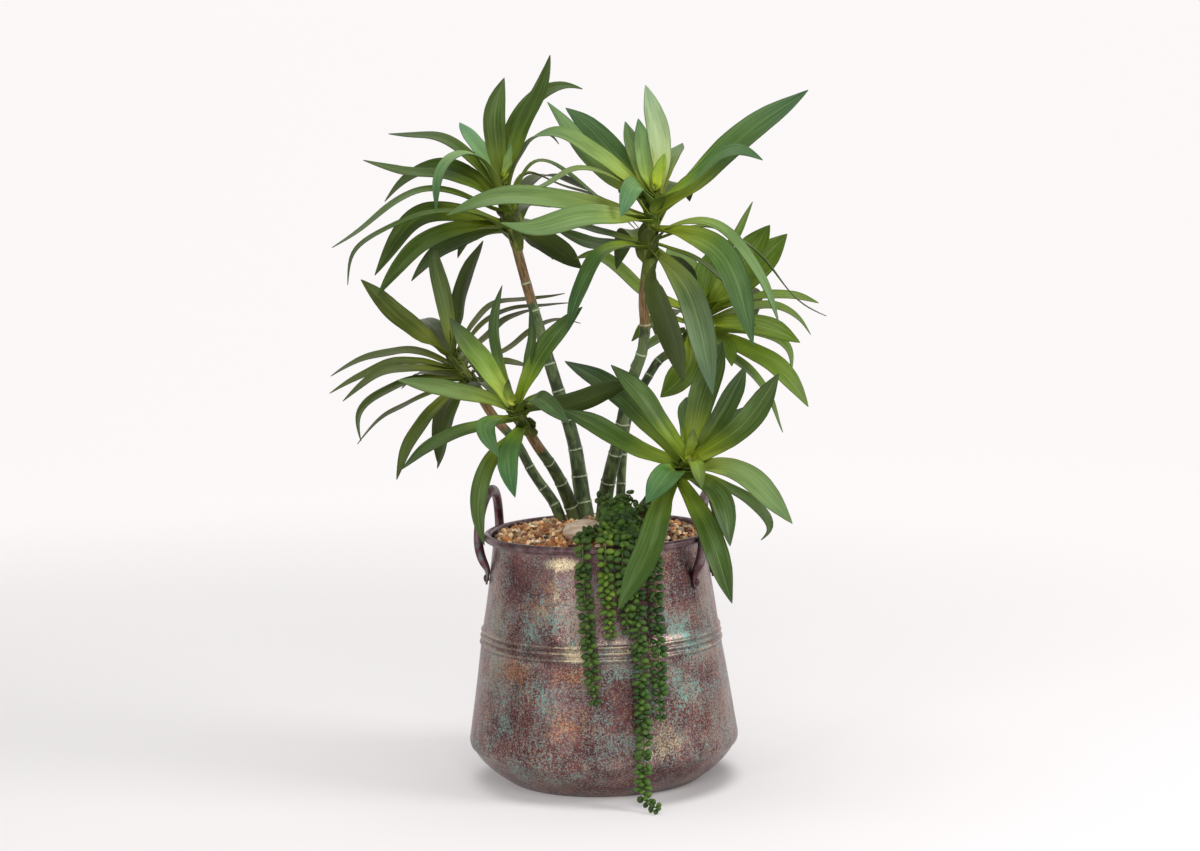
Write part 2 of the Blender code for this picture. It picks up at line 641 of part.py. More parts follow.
def build_blade(base, places, root_side, width, lean, name, collection):
    frames, tip = blade_frames(base, places, root_side, lean, BLADE_STATIONS)
    rings = []
    for t, (point, side, normal) in zip(BLADE_STATIONS, frames):
        half = side * width * 0.5 * blade_width(t)
        thick = normal * BLADE_HALF_THICK * (1.0 - 0.6 * t)
        rings.append([point - half, point + thick, point + half, point - thick])
    return loft(rings, tip, name, collection)


def build_whorl(key, index, collection, cutters):
    """A collar threaded on the cane's core, united with its blades."""
    head = HEADS[key]
    whorl = WHORLS[index]
    neck = np.array(CANES[key][-1][:3], dtype=float)
    crown = np.array(head["crown"], dtype=float)
    centre = np.array(head["centre"], dtype=float)
    way = unit(crown - neck)
    start = neck + way * 1.2
    length = np.linalg.norm(crown - start) / 3.0
    low = start + way * (length * (2 - index) + GAP)
    high = start + way * (length * (3 - index))
    collar = build_collar(low, high, "leaves_" + key + "_" + whorl, collection)
    rows = head[whorl]
    for i, (width, lean, *places) in enumerate(rows):
        share = (i + 0.5) / len(rows)
        on_axis = high + (low - high) * (0.12 + 0.76 * share)
        goals = [centre + np.array(place, dtype=float) for place in places]
        outward = goals[0] - on_axis
        outward = unit(outward - way * np.dot(outward, way))
        base = on_axis + outward * (CORE_R + 1.9)
        blade = build_blade(base, goals, np.cross(way, outward), width, lean, "blade", cutters)
        boolean(collar, as_cutter(blade), "UNION")
    finish(collar, "leaf")
    apply_modifiers(collar)


def build_collar(low, high, name, collection):
    way = high - low
    depth = float(np.linalg.norm(way))
    corners = [(COLLAR_OUT, depth), (COLLAR_OUT, 0.0), (COLLAR_IN, 0.0), (COLLAR_IN, depth)]
    collar = turned(corners, name, collection, steps=COLLAR_SIDES, ring=True)
    place = Matrix.Translation(mm(low)) @ Vector(way).to_track_quat("Z", "Y").to_matrix().to_4x4()
    collar.data.transform(place)
    return collar


# ---------------------------------------------------------------- sedum

def build_clump(collection, cutters, gravel_cutter):
    clump = ball(CLUMP_AT, CLUMP_RADII, "sedum_clump", collection, segments=16, rings=10)
    boolean(clump, gravel_cutter, "DIFFERENCE")
    finish(clump, "sedum")
    grown = [r + GAP for r in CLUMP_RADII]
    return as_cutter(ball(CLUMP_AT, grown, "clump_room", cutters, segments=16, rings=10))


def on_wall(x, z, lift):
    """A place in front of the pot at height z, lifted off its wall."""
    r = wall_radius(z) + lift
    return (x, -math.sqrt(r * r - x * x), z)


def strand_route(row):
    """From the clump over the rim and down the wall to its end."""
    x_rim = row["rim_x"]
    route = list(row["top"])
    for r, z in arc((RIM_R, RIM_Z), RIM_BEAD + STRAND_LIFT + 0.5, 100.0, 0.0, 4):
        route.append((x_rim, -math.sqrt(r ** 2 - x_rim ** 2), z))
    start_z = RIM_Z - 30.0
    count = max(2, int(round((start_z - row["end_z"]) / 28.0)))
    for i in range(count + 1):
        share = i / count
        z = start_z + (row["end_z"] - start_z) * share
        x = x_rim + (row["end_x"] - x_rim) * share
        route.append(on_wall(x, z, STRAND_LIFT + BAND_HEIGHT))
    return route


def build_strands(collection, clump_room):
    for label, row in STRANDS.items():
        route = strand_route(row)
        if label == "5":
            route = route[:-1] + [on_wall(row["end_x"] - 1.0, FOOT_Z + 4.0, STRAND_LIFT + 1.0)] + FLOOR_RUN
        length = float(np.sum(np.linalg.norm(np.diff(np.array(route), axis=0), axis=1)))
        samples = np.linspace(0.0, 1.0, max(8, int(length / 11.0)))
        points = natural_spline(route, samples)
        taper = np.interp(samples, [0.0, 0.08, 0.8, 1.0], [0.6, 1.0, 1.0, 0.65])
        radii = [STRAND_R * float(share) for share in taper]
        strand = tube(points, radii, "sedum_strand_" + label, collection, resolution=2)
        boolean(strand, clump_room, "DIFFERENCE")
        finish(strand, "sedum")


def build_gravel_cutter(cutters):
    """The gravel raised by the clearance, for what lies on it."""
    bottom = GRAVEL_EDGE_Z - 30.0
    profile = [(0.0, bottom), (GRAVEL_EDGE_R, bottom)] + gravel_top(GAP)
    return as_cutter(turned(profile, "gravel_room", cutters))


def new_collection(name):
    collection = bpy.data.collections.new(name)
    bpy.context.scene.collection.children.link(collection)
    return collection


def main():
    for obj in list(bpy.data.objects):
        bpy.data.objects.remove(obj)
    parts = new_collection("potted_yucca")
    cutters = new_collection("cutters")
    pot = build_pot(parts)
    mix, gravel = build_filling(parts, cutters)
    build_handles(parts, cutters, pot)
    for key in HEADS:
        build_cane(key, parts, cutters, (mix, gravel))
        for index in range(len(WHORLS)):
            build_whorl(key, index, parts, cutters)
    clump_room = build_clump(parts, cutters, build_gravel_cutter(cutters))
    build_strands(parts, clump_room)


main()
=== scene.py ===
# Potted yucca in a riveted, tarnished pot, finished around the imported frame.
# Tables are in millimetres, z up, the front of the plant towards -y.
import math
import random

import bpy
import numpy as np
from mathutils import Euler, Matrix, Vector


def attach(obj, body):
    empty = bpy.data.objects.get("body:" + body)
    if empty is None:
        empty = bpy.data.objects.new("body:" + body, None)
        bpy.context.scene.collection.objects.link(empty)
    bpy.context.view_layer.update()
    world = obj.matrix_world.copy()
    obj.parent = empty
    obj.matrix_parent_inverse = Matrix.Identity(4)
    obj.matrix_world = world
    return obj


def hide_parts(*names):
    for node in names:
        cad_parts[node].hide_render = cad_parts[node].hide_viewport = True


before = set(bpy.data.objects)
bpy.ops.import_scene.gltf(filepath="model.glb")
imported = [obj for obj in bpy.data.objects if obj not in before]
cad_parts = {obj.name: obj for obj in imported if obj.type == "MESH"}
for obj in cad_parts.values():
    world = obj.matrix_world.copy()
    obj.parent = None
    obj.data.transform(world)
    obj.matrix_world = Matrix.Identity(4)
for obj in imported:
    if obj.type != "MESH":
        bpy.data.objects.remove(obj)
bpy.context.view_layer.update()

metre = 0.001       # one millimetre of the tables, in metres
hair = 0.00001      # corners closer than this are one
fullTurn = 6.28
black = (0, 0, 0, 1)


# making and picking, as by hand

def mode(name):
    bpy.ops.object.mode_set(mode=name)


def clearSelection():
    if bpy.context.object and bpy.context.object.mode != "OBJECT":
        mode("OBJECT")
    bpy.ops.object.select_all(action="DESELECT")


def only(piece):
    clearSelection()
    piece.select_set(True)
    bpy.context.view_layer.objects.active = piece


def primitive(name, add, **facts):
    # a primitive under its own name, with its place put into its mesh
    clearSelection()
    add(**facts)
    piece = bpy.context.object
    piece.name = piece.data.name = name
    only(piece)
    bpy.ops.object.transform_apply(location=True, rotation=True, scale=True)
    return piece


def ball(name, segments, rings, **facts):
    add = bpy.ops.mesh.primitive_uv_sphere_add
    return primitive(name, add, segments=segments, ring_count=rings, **facts)


def pick(piece, test):
    # edit mode with only the vertices for which test holds selected
    only(piece)
    mode("EDIT")
    bpy.ops.mesh.select_mode(type="VERT")
    bpy.ops.mesh.select_all(action="DESELECT")
    mode("OBJECT")
    for corner in piece.data.vertices:
        corner.select = test(corner.co)
    mode("EDIT")


def everywhere(corner):
    return True


def shaped(piece, test, operator, **facts):
    # one edit-mode operator on the vertices for which test holds
    pick(piece, test)
    operator(**facts)
    mode("OBJECT")


def resized(piece, test, value, centre=(0, 0, 0)):
    shaped(piece, test, bpy.ops.transform.resize, value=value, center_override=centre)


def drawnOut(*way):
    bpy.ops.mesh.extrude_region_move(TRANSFORM_OT_translate={"value": way})


def cornersOf(piece):
    flat = np.empty(len(piece.data.vertices) * 3, dtype=np.float32)
    piece.data.vertices.foreach_get("co", flat)
    return flat.reshape(-1, 3).astype(float)


def moveCorners(piece, corners):
    piece.data.vertices.foreach_set("co", np.asarray(corners, dtype=np.float32).ravel())
    piece.data.update()


def writeLayer(piece, name, values):
    # a vector for each corner, or a colour where there are four numbers
    values = np.asarray(values, dtype=np.float32)
    kind, field = ("FLOAT_COLOR", "color") if values.shape[1] == 4 else ("FLOAT_VECTOR", "vector")
    piece.data.attributes.new(name, kind, "POINT").data.foreach_set(field, values.ravel())


def writeTone(piece, tone):
    writeLayer(piece, "tone", [tone] * len(piece.data.vertices))


def copyOf(template):
    twin = template.copy()
    twin.data = template.data.copy()
    bpy.context.scene.collection.objects.link(twin)
    return twin


def joined(name, members):
    clearSelection()
    for member in members:
        member.select_set(True)
    bpy.context.view_layer.objects.active = members[0]
    bpy.ops.object.join()
    whole = bpy.context.object
    whole.name = whole.data.name = name
    return whole


def outward(piece):
    pick(piece, everywhere)
    bpy.ops.mesh.remove_doubles(threshold=hair)
    bpy.ops.mesh.select_all(action="SELECT")
    bpy.ops.mesh.normals_make_consistent(inside=False)
    mode("OBJECT")


def smooth(piece, angle):
    only(piece)
    bpy.ops.object.shade_smooth_by_angle(angle=math.radians(angle))


def movedTo(at):
    return Matrix.Translation([v * metre for v in at])


def sized(at, radii):
    # from a unit ball to its radii and its place
    return movedTo(at) @ Matrix.Diagonal((*[r * metre for r in radii], 1))


def applyAll(piece):
    only(piece)
    for modifier in list(piece.modifiers):
        bpy.ops.object.modifier_apply(modifier=modifier.name)


def dress(piece, *finishes):
    piece.data.materials.clear()
    for finish in finishes:
        piece.data.materials.append(finish)


def stands(piece, slotName, *nodes):
    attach(piece, "root")
    if nodes:
        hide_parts(*nodes)


# curves and frames

def unitWay(vector):
    return vector / np.linalg.norm(vector)


def wayAt(points, i):
    return unitWay(points[min(i + 1, len(points) - 1)] - points[max(i - 1, 0)])


def strayed(draw, reach):
    return np.array([draw.uniform(-reach, reach) for _ in range(3)])


def squareTo(way, along):
    # the way with its share along another taken out
    return unitWay(way - along * np.dot(way, along))


def lengthsAlong(points):
    return np.concatenate([[0], np.cumsum(np.linalg.norm(np.diff(points, axis=0), axis=1))])


def smoothRun(points, samples):
    # a natural cubic spline through the points, evenly sampled along its chords
    p = np.array(points, dtype=float)
    knots = lengthsAlong(p)
    count, step = len(p), np.diff(knots)
    system, right = np.eye(count), np.zeros_like(p)
    for i in range(1, count - 1):
        system[i, i - 1:i + 2] = step[i - 1], 2 * (step[i - 1] + step[i]), step[i]
        right[i] = 6 * ((p[i + 1] - p[i]) / step[i] - (p[i] - p[i - 1]) / step[i - 1])
    bend = np.linalg.solve(system, right)
    run = []
    for share in np.linspace(0, 1, samples):
        at = share * knots[-1]
        i = min(max(int(np.searchsorted(knots, at)) - 1, 0), count - 2)
        h = step[i]
        a, b = (knots[i + 1] - at) / h, (at - knots[i]) / h
        run.append(a * p[i] + b * p[i + 1]
                   + ((a ** 3 - a) * bend[i] + (b ** 3 - b) * bend[i + 1]) * h * h / 6)
    return np.array(run)


def carriedFrames(points, first):
    # a way across and a way up for each point, carried along without twisting
    frames, across = [], np.array(first, dtype=float)
    for i in range(len(points)):
        along = wayAt(points, i)
        across = squareTo(across, along)
        frames.append((across, np.cross(along, across)))
    return frames


def arc(centre, radius, start, end, count):
    turns = [math.radians(start + (end - start) * i / (count - 1)) for i in range(count)]
    return [(centre[0] + radius * math.cos(t), centre[1] + radius * math.sin(t)) for t in turns]


# shader wires

def hexColour(code):
    parts = [int(code[i:i + 2], 16) / 255 for i in (0, 2, 4)]
    return (*[p / 12.92 if p <= 0.04045 else ((p + 0.055) / 1.055) ** 2.4 for p in parts], 1)


class Wire:
    def __init__(self, tree, socket=None):
        self.tree, self.socket = tree, socket

    def node(self, kind, settings, sockets, output=0):
        made = self.tree.nodes.new("ShaderNode" + kind)
        for name, value in settings.items():
            setattr(made, name, value)
        for name, value in sockets.items():
            if isinstance(value, Wire):
                self.tree.links.new(value.socket, made.inputs[name])
            else:
                made.inputs[name].default_value = value
        return Wire(self.tree, made.outputs[output])

    def other(self, output):
        return Wire(self.tree, self.socket.node.outputs[output])

    def maths(self, operation, second=0):
        return self.node("Math", {"operation": operation}, {0: self, 1: second})

    def vectors(self, operation, second=(0, 0, 0), output=0):
        return self.node("VectorMath", {"operation": operation}, {0: self, 1: second}, output)

    def __add__(self, second):
        return self.maths("ADD", second)

    def __sub__(self, second):
        return self.maths("SUBTRACT", second)

    def __rsub__(self, first):
        return self.node("Math", {"operation": "SUBTRACT"}, {0: first, 1: self})

    def __mul__(self, second):
        return self.maths("MULTIPLY", second)

    __radd__ = __add__

    def above(self, low, high):
        # eased from 0 at low to 1 at high
        return self.node("MapRange", {"interpolation_type": "SMOOTHSTEP"}, {0: self, 1: low, 2: high})

    def within(self, reach):
        return self.maths("ABSOLUTE").above(*reach)

    def times(self, scales):
        return self.vectors("MULTIPLY", scales)

    def distance(self, centre, scales=(1, 1, 1)):
        return self.vectors("SUBTRACT", centre).times(scales).vectors("LENGTH", output="Value")

    def noise(self, scale, detail=2, roughness=0.5, distortion=0):
        facts = {"Scale": scale, "Detail": detail, "Roughness": roughness, "Distortion": distortion}
        return self.node("TexNoise", {}, {"Vector": self, **facts})


def blended(factor, under, over, mode="MIX"):
    wire = next(w for w in (factor, under, over) if isinstance(w, Wire))
    under, over = (hexColour(c) if isinstance(c, str) else c for c in (under, over))
    return wire.node("Mix", {"data_type": "RGBA", "blend_type": mode}, {0: factor, 6: under, 7: over}, 2)


def coated(colour, *coats):
    # each coat is how much of it shows and its colour
    for share, tone in coats:
        colour = blended(share, colour, tone)
    return colour


def newFinish(name, constants):
    finish = bpy.data.materials.new(name)
    finish.use_nodes = True
    shader = finish.node_tree.nodes["Principled BSDF"]
    for socket, value in constants.items():
        shader.inputs[socket].default_value = value
    return finish, Wire(finish.node_tree).node("TexCoord", {}, {}, "Object").times((1 / metre,) * 3)


def fed(finish, wires, shader="Principled BSDF"):
    for name, wire in wires.items():
        wire.tree.links.new(wire.socket, finish.node_tree.nodes[shader].inputs[name])
    return finish


def attribute(start, name, output="Vector"):
    return start.node("Attribute", {"attribute_name": name}, {}, output)


def raised(height, strength, distance):
    return height.node("Bump", {}, {"Strength": strength, "Distance": distance, "Height": height})


def apart(vector):
    split = vector.node("SeparateXYZ", {}, {0: vector}, "X")
    return split, split.other("Y"), split.other("Z")


# the pot

pot = {
    "base": 98, "foot": 136.5, "footHeight": 41, "footRound": 13, "neck": 107.5, "neckHeight": 234,
    "rim": 112.7, "rimHeight": 247.8, "rimBead": 4, "sheet": 1.6, "bands": (154, 148, 141.5), "bandRise": 1.8,
    "bandHalf": 2.3, "bowl": 6.5, "sides": 160, "seamAngles": (-113, -22), "seamRise": 0.55, "seamHalf": 1.3,
    # steps across a band, in half widths, and how far it stands out there
    "bandShape": ((-1, 0), (-0.6, 0.45), (-0.25, 0.92), (0, 1), (0.25, 0.92), (0.6, 0.45), (1, 0)),
    # heights of the rings between them
    "below": (1.6, 5, 10, 16, 22, 28, 33), "lower": (62, 88, 112, 130),
    "upper": (164, 182, 200, 216, 228, 234),
}
potLook = {
    "plum": "5c3842", "mauve": "7d6066", "umber": "2c1418", "taupe": "ae9d90", "rust": "96543f",
    "greyTeal": "8aa197", "verdigris": "68aca0", "copper": "cc8e56", "brassWearAndHighlight": "f4e2b8", "rimDark": "4f3439",
    "rimLight": "7f676b",
}
# places where one colour wears through, or where a highlight or shade is painted: the middle and how far it
# reaches each way
wornLitAndShadedPlaces = {
    # brass: the spots down the left of the front, at x -20 to -44 mm under the rim and on the bands, are
    # painted highlights; the others are worn brass
    "brassWearAndHighlight": [(-36, -100, 232, 26, 40, 12), (-44, -110, 208, 9, 40, 26), (-32, -112, 148, 34, 40, 18),
              (50, -110, 60, 38, 60, 28), (14, -112, 208, 16, 40, 12), (-34, -104, 235, 34, 40, 8),
              (40, -112, 150, 40, 40, 8), (-20, -112, 144, 20, 40, 7)],
    "verdigris": [(-62, -90, 178, 40, 60, 34), (84, -80, 150, 46, 60, 34), (76, -96, 104, 14, 60, 66),
                  (-66, -90, 92, 44, 60, 56), (108, -66, 84, 9, 50, 50), (26, -118, 128, 44, 40, 26),
                  (60, -96, 176, 32, 60, 26), (-96, -60, 60, 26, 50, 56), (-30, -110, 150, 40, 50, 20),
                  (20, -120, 60, 50, 50, 18), (86, -80, 160, 34, 50, 22), (74, -96, 96, 12, 60, 50),
                  (60, -100, 72, 22, 40, 26)],
    # grey: the first spot, left of the front from the rim down to the bands, is a painted highlight; the
    # others are grey patina
    "grey": [(-26, -112, 186, 40, 50, 34), (10, -112, 170, 44, 50, 56), (-104, -60, 150, 26, 70, 100),
             (104, -50, 190, 24, 60, 70), (-50, -110, 20, 50, 60, 12), (120, -50, 60, 26, 60, 50)],
    "copper": [(-48, -100, 206, 16, 50, 34), (-34, -118, 76, 34, 50, 26), (-30, -116, 126, 46, 50, 18),
               (-84, -80, 124, 26, 50, 30), (92, -60, 66, 28, 50, 26), (-64, -90, 190, 18, 40, 30)],
    # dark: darker plum patina, which is also painted shade on the upper right and along the foot
    "dark": [(82, -70, 213, 34, 60, 40), (-80, -70, 214, 26, 60, 40), (12, -118, 100, 40, 50, 34),
             (-92, -80, 74, 36, 60, 34), (40, -116, 186, 26, 40, 40), (70, -100, 30, 50, 60, 20),
             (0, -116, 14, 90, 60, 14)],
}


def wallRadius(height):
    if height >= pot["footHeight"]:
        share = (height - pot["footHeight"]) / (pot["neckHeight"] - pot["footHeight"])
        return pot["foot"] + (pot["neck"] - pot["foot"]) * share
    return pot["base"] + (pot["foot"] - pot["base"]) * height / pot["footHeight"]


def potProfile():
    # from the underside up the outside, over the rolled rim and down inside
    base, foot, footHeight, neck = pot["base"], pot["foot"], pot["footHeight"], pot["neck"]
    lean = math.degrees(math.atan2(foot - neck, pot["neckHeight"] - footHeight))
    outer = [(base - 1.5, 0), (base, 0.3)]
    outer += [(wallRadius(z) + pot["bowl"] * math.sin(math.pi * min(1, z / footHeight)), z)
              for z in pot["below"]]
    outer += arc((foot - pot["footRound"], footHeight), pot["footRound"], -24, lean, 6)
    outer += [(wallRadius(z), z) for z in pot["lower"]]
    for band in sorted(pot["bands"]):
        for step, rise in pot["bandShape"]:
            z = band + step * pot["bandHalf"]
            outer.append((wallRadius(z) + rise * pot["bandRise"], z))
    outer += [(wallRadius(z), z) for z in pot["upper"]] + [(neck - 0.4, 239), (neck + 0.6, 243)]
    rim = arc((pot["rim"], pot["rimHeight"]), pot["rimBead"], -146, 200, 22)
    inner = [(neck - pot["sheet"], pot["neckHeight"]), (foot - 2.5, footHeight + 2),
             (base - 0.5, pot["sheet"])]
    return outer + rim + inner


def makePot():
    # a disc drawn up ring by ring along the profile; its two ends stay closed
    (radius, height), *rings = potProfile()
    piece = primitive("copperPot", bpy.ops.mesh.primitive_circle_add, vertices=pot["sides"],
                      radius=radius * metre, fill_type="NGON", location=(0, 0, height * metre))
    mode("EDIT")
    bpy.ops.mesh.select_mode(type="FACE")
    bpy.ops.mesh.select_all(action="SELECT")
    for nextRadius, nextHeight in rings:
        drawnOut(0, 0, (nextHeight - height) * metre)
        grow = nextRadius / radius
        bpy.ops.transform.resize(value=(grow, grow, 1), center_override=(0, 0, nextHeight * metre))
        radius, height = nextRadius, nextHeight
    mode("OBJECT")
    outward(piece)
    corners = cornersOf(piece) / metre
    x, y, z = corners.T
    r, turn = np.hypot(x, y), np.arctan2(y, x)
    seams = sum(np.exp(-((np.degrees(turn) - seam) / pot["seamHalf"]) ** 2) for seam in pot["seamAngles"])
    # hand-beaten sheet is never quite true
    dents = 0.35 * np.sin(turn * 5 + z / 31) * np.sin(z / 23 + 1) + 0.25 * np.sin(turn * 11 - z / 17)
    rise = seams * pot["seamRise"] + dents * np.clip((z - 40) / 60, 0, 1)
    shell = (z > 2) & (z < 240) & (r > wallRadius(240) - 0.2)
    corners[:, :2] *= 1 + np.where(shell, rise / np.maximum(r, 1), 0)[:, None]
    moveCorners(piece, corners * metre)
    smooth(piece, 50)
    return piece


def patinaFinish():
    finish, place = newFinish("patinatedCopper", {"IOR": 1.5})
    height = apart(place)[2]
    broad = place.times((1, 1, 0.7)).noise(0.024, 3, 0.6)
    cloudA, cloudB, cloudC = apart(place.noise(0.04, 3, 0.6).other("Color"))
    crumbs = place.noise(0.52, 2, 0.72, 0.6).other("Color")
    crumbA, crumbB, crumbC = apart(crumbs)
    fine = place.noise(0.85, 2, 0.65)
    streak = place.times((1, 1, 0.1)).noise(0.28, 3, 0.6) - 0.5
    # each colour's spots as one mask; the brass and grey masks hold painted highlights, the dark one painted
    # shade
    wornLitAndShaded = {key: sum(place.distance(spot[:3], [1 / r for r in spot[3:]]).above(1, 0) for spot in spots)
            for key, spots in wornLitAndShadedPlaces.items()}
    # the crests of the bands are lighter: worn metal and a painted highlight
    crestWearAndHighlight = sum((height - z).within((1.6, 0.3)) for z in pot["bands"])
    # the valleys below each band are darker: patina there and painted shade under the ridges
    valleyPatinaAndShade = sum((height - (z - pot["bandHalf"] - 0.7)).within((1.5, 0.4)) for z in pot["bands"])
    # the bare base turns plum in the dark spots, which are partly painted shade
    bare = (broad * 0.6 + cloudA * 0.4 - wornLitAndShaded["dark"] * 0.1).above(0.42, 0.6)
    # crumbs of each colour, closer together where that colour wears through
    rust = crumbC + (cloudC - 0.5) * 0.45 + wornLitAndShaded["copper"] * 0.04
    # grey crumbs, thicker on the painted highlight left of the front
    grey = crumbB + (cloudB - 0.5) * 0.34 + streak * 0.24 + wornLitAndShaded["grey"] * 0.12 - wornLitAndShaded["dark"] * 0.06
    teal = (crumbA + (cloudC - 0.5) * -0.42 + wornLitAndShaded["verdigris"] * 0.06 + streak * 0.16 - 0.028
            - wornLitAndShaded["dark"] * 0.03)
    film = teal.above(0.52, 0.565)
    solid = teal * 0.7 + cloudA * 0.35 + wornLitAndShaded["verdigris"] * 0.02
    copper = crumbB * 0.6 + fine * 0.4 + (cloudB - 0.5) * 0.3 + wornLitAndShaded["copper"] * 0.1
    # brass crumbs: worn brass, with painted highlights on the band crests and down the left of the front
    brassWearAndHighlight = (crumbC * 0.5 + fine * 0.5 + wornLitAndShaded["brassWearAndHighlight"] * 0.155 + crestWearAndHighlight * cloudB * 0.15
             + (cloudA - 0.5) * 0.15)
    pit = fine * 0.75 + crumbC * 0.25 - (cloudA - 0.5) * 0.35 + wornLitAndShaded["dark"] * 0.03
    # the film has dried in a fine net of cracks
    bent = place.vectors("ADD", crumbs.times((3, 3, 3)))
    crack = bent.node("TexVoronoi", {"feature": "DISTANCE_TO_EDGE"}, {"Vector": bent, "Scale": 0.36},
                      "Distance")
    crack = crack.above(0.16, 0.04) * (cloudB * 0.5 + broad * 0.5).above(0.4, 0.56)
    coats = [(rust.above(0.5, 0.56) * 0.5, "rust"), (grey.above(0.505, 0.56) * 0.7, "taupe"),
             (film * 0.78, "greyTeal"), (solid.above(0.605, 0.66) * 0.68, "verdigris"),
             (copper.above(0.575, 0.63) * 0.8, "copper"), (brassWearAndHighlight.above(0.59, 0.635) * 0.9, "brassWearAndHighlight"),
             (crestWearAndHighlight * cloudC * 0.35, "taupe"), (pit.above(0.53, 0.585) * 0.74, "umber"), (crack * 0.5, "plum"),
             (valleyPatinaAndShade * 0.38, "umber")]
    colour = coated(blended(bare, potLook["plum"], potLook["mauve"]),
                    *[(share, potLook[tone]) for share, tone in coats])
    rim = blended(place.noise(0.09, 3, 0.6).above(0.4, 0.62), potLook["rimDark"], potLook["rimLight"])
    return fed(finish, {
        "Base Color": blended(height.above(240, 243.5) * 0.85, colour, rim),
        "Roughness": 0.2 + fine * 0.26 + film * 0.12, "Metallic": 0.76 - film * 0.4,
        "Normal": raised(fine * 0.5 + crumbA * 0.8 + place.noise(0.05) * 3, 0.22, 0.0008),
    })


print("pot")
potPiece = makePot()
dress(potPiece, patinaFinish())
stands(potPiece, "pot_metal", "pot")


# the two strap handles with their rivets

handle = {
    "azimuths": {"right": -15, "left": 165}, "girth": {"right": 1.4, "left": 1.3},
    # across the handle, out from the pot's axis, up
    "path": [(37, 108.9, 199.6), (37, 108.2, 206), (37.1, 107.2, 213), (37.7, 110.4, 221), (37.8, 114.4, 232),
             (37.2, 116, 243), (35.8, 116, 254), (31.6, 115.3, 267), (23.5, 114, 279.5), (12, 113, 287.8),
             (0, 112.6, 290.3)],
    # half width, half thickness, and how far it faces the wall (1) or out (0)
    "section": [(4.9, 1.3, 1), (5.2, 1.4, 1), (4.3, 2.1, 1), (5.2, 3.2, 0.8), (5.9, 3.6, 0.5), (6.2, 3.6, 0.3),
                (6.2, 3.5, 0.1), (6, 3.5, 0), (5.9, 3.5, 0), (5.8, 3.5, 0), (5.6, 3.5, 0)],
    "sides": 18, "stations": 36, "rivetAzimuth": 18.9, "rivetHeight": 206, "rivetHead": 4, "shank": 3.5,
    "padOut": 3.8,
}


def bentRod(name, points, halves, frames, sides):
    # a round bar cut into rings and laid along points, with its own half width and half depth at each
    bar = primitive(name, bpy.ops.mesh.primitive_cylinder_add, vertices=sides, radius=1, depth=1,
                    location=(0, 0, 0.5))
    mode("EDIT")
    bpy.ops.mesh.select_mode(type="EDGE")
    bpy.ops.mesh.select_all(action="DESELECT")
    mode("OBJECT")
    for edge in bar.data.edges:
        low, high = (bar.data.vertices[i].co.z for i in edge.vertices)
        edge.select = abs(high - low) > 0.5
    mode("EDIT")
    bpy.ops.mesh.subdivide(number_cuts=len(points) - 2)
    mode("OBJECT")
    corners = cornersOf(bar)
    ring = np.rint(corners[:, 2] * (len(points) - 1)).astype(int)
    across, up = (np.array(ways)[ring] for ways in zip(*frames))
    flat = corners[:, :2] * np.array(halves, dtype=float)[ring]
    moveCorners(bar, (np.array(points)[ring] + across * flat[:, :1] + up * flat[:, 1:]) * metre)
    writeLayer(bar, "grown", np.column_stack([flat, lengthsAlong(points)[ring]]))
    return bar, ring


def aroundPot(azimuth, across, out, up):
    a = math.radians(azimuth)
    return np.array([math.cos(a) * out - math.sin(a) * across, math.sin(a) * out + math.cos(a) * across, up])


def makeHandle(side):
    azimuth = handle["azimuths"][side]
    rows = [(*place, *section) for place, section in zip(handle["path"], handle["section"])]
    half = smoothRun(rows, handle["stations"])
    path = np.concatenate([half, half[-2::-1] * np.array([-1, 1, 1, 1, 1, 1])])
    places, frames, halves = [], [], []
    for i, (u, n, z, halfWide, halfThick, facesWall) in enumerate(path):
        along = wayAt(path[:, :3], i)
        out = unitWay(np.array([0, 1 - facesWall, 0]) + unitWay(np.array([u, n, 0])) * facesWall)
        wide = unitWay(np.cross(along, out))
        places.append(aroundPot(azimuth, u, n, z))
        frames.append([aroundPot(azimuth, *way) for way in (wide, unitWay(np.cross(wide, along)))])
        # the foot is rounded off like a coin
        fromEnd = min(i, len(path) - 1 - i, 3)
        trim = math.sqrt(max(0.03, 1 - (1 - fromEnd / 3) ** 2))
        halves.append((halfWide * trim, halfThick * max(trim, 0.6) * handle["girth"][side]))
    piece, _ = bentRod("strapHandle" + side.capitalize(), places, halves, frames, handle["sides"])
    outward(piece)
    smooth(piece, 60)
    return piece


def makeRivet(name, azimuth):
    head = ball(name, 20, 12, radius=handle["rivetHead"] * metre)
    shaped(head, everywhere, bpy.ops.mesh.bisect, plane_co=(0, 0, 0), plane_no=(0, 0, 1), use_fill=True,
           clear_inner=True)
    resized(head, everywhere, (1, 1, 0.6))
    pick(head, lambda corner: corner.z < hair)
    bpy.ops.mesh.select_mode(type="FACE")
    drawnOut(0, 0, -handle["shank"] * metre)
    bpy.ops.transform.resize(value=(0.6, 0.6, 1), center_override=(0, 0, -handle["shank"] * metre))
    outward(head)
    seat = (wallRadius(handle["rivetHeight"]) + handle["padOut"], 0, handle["rivetHeight"])
    place = Matrix.Rotation(math.radians(azimuth), 4, "Z") @ movedTo(seat)
    head.data.transform(place @ Matrix.Rotation(math.radians(90), 4, "Y"))
    smooth(head, 50)
    return head


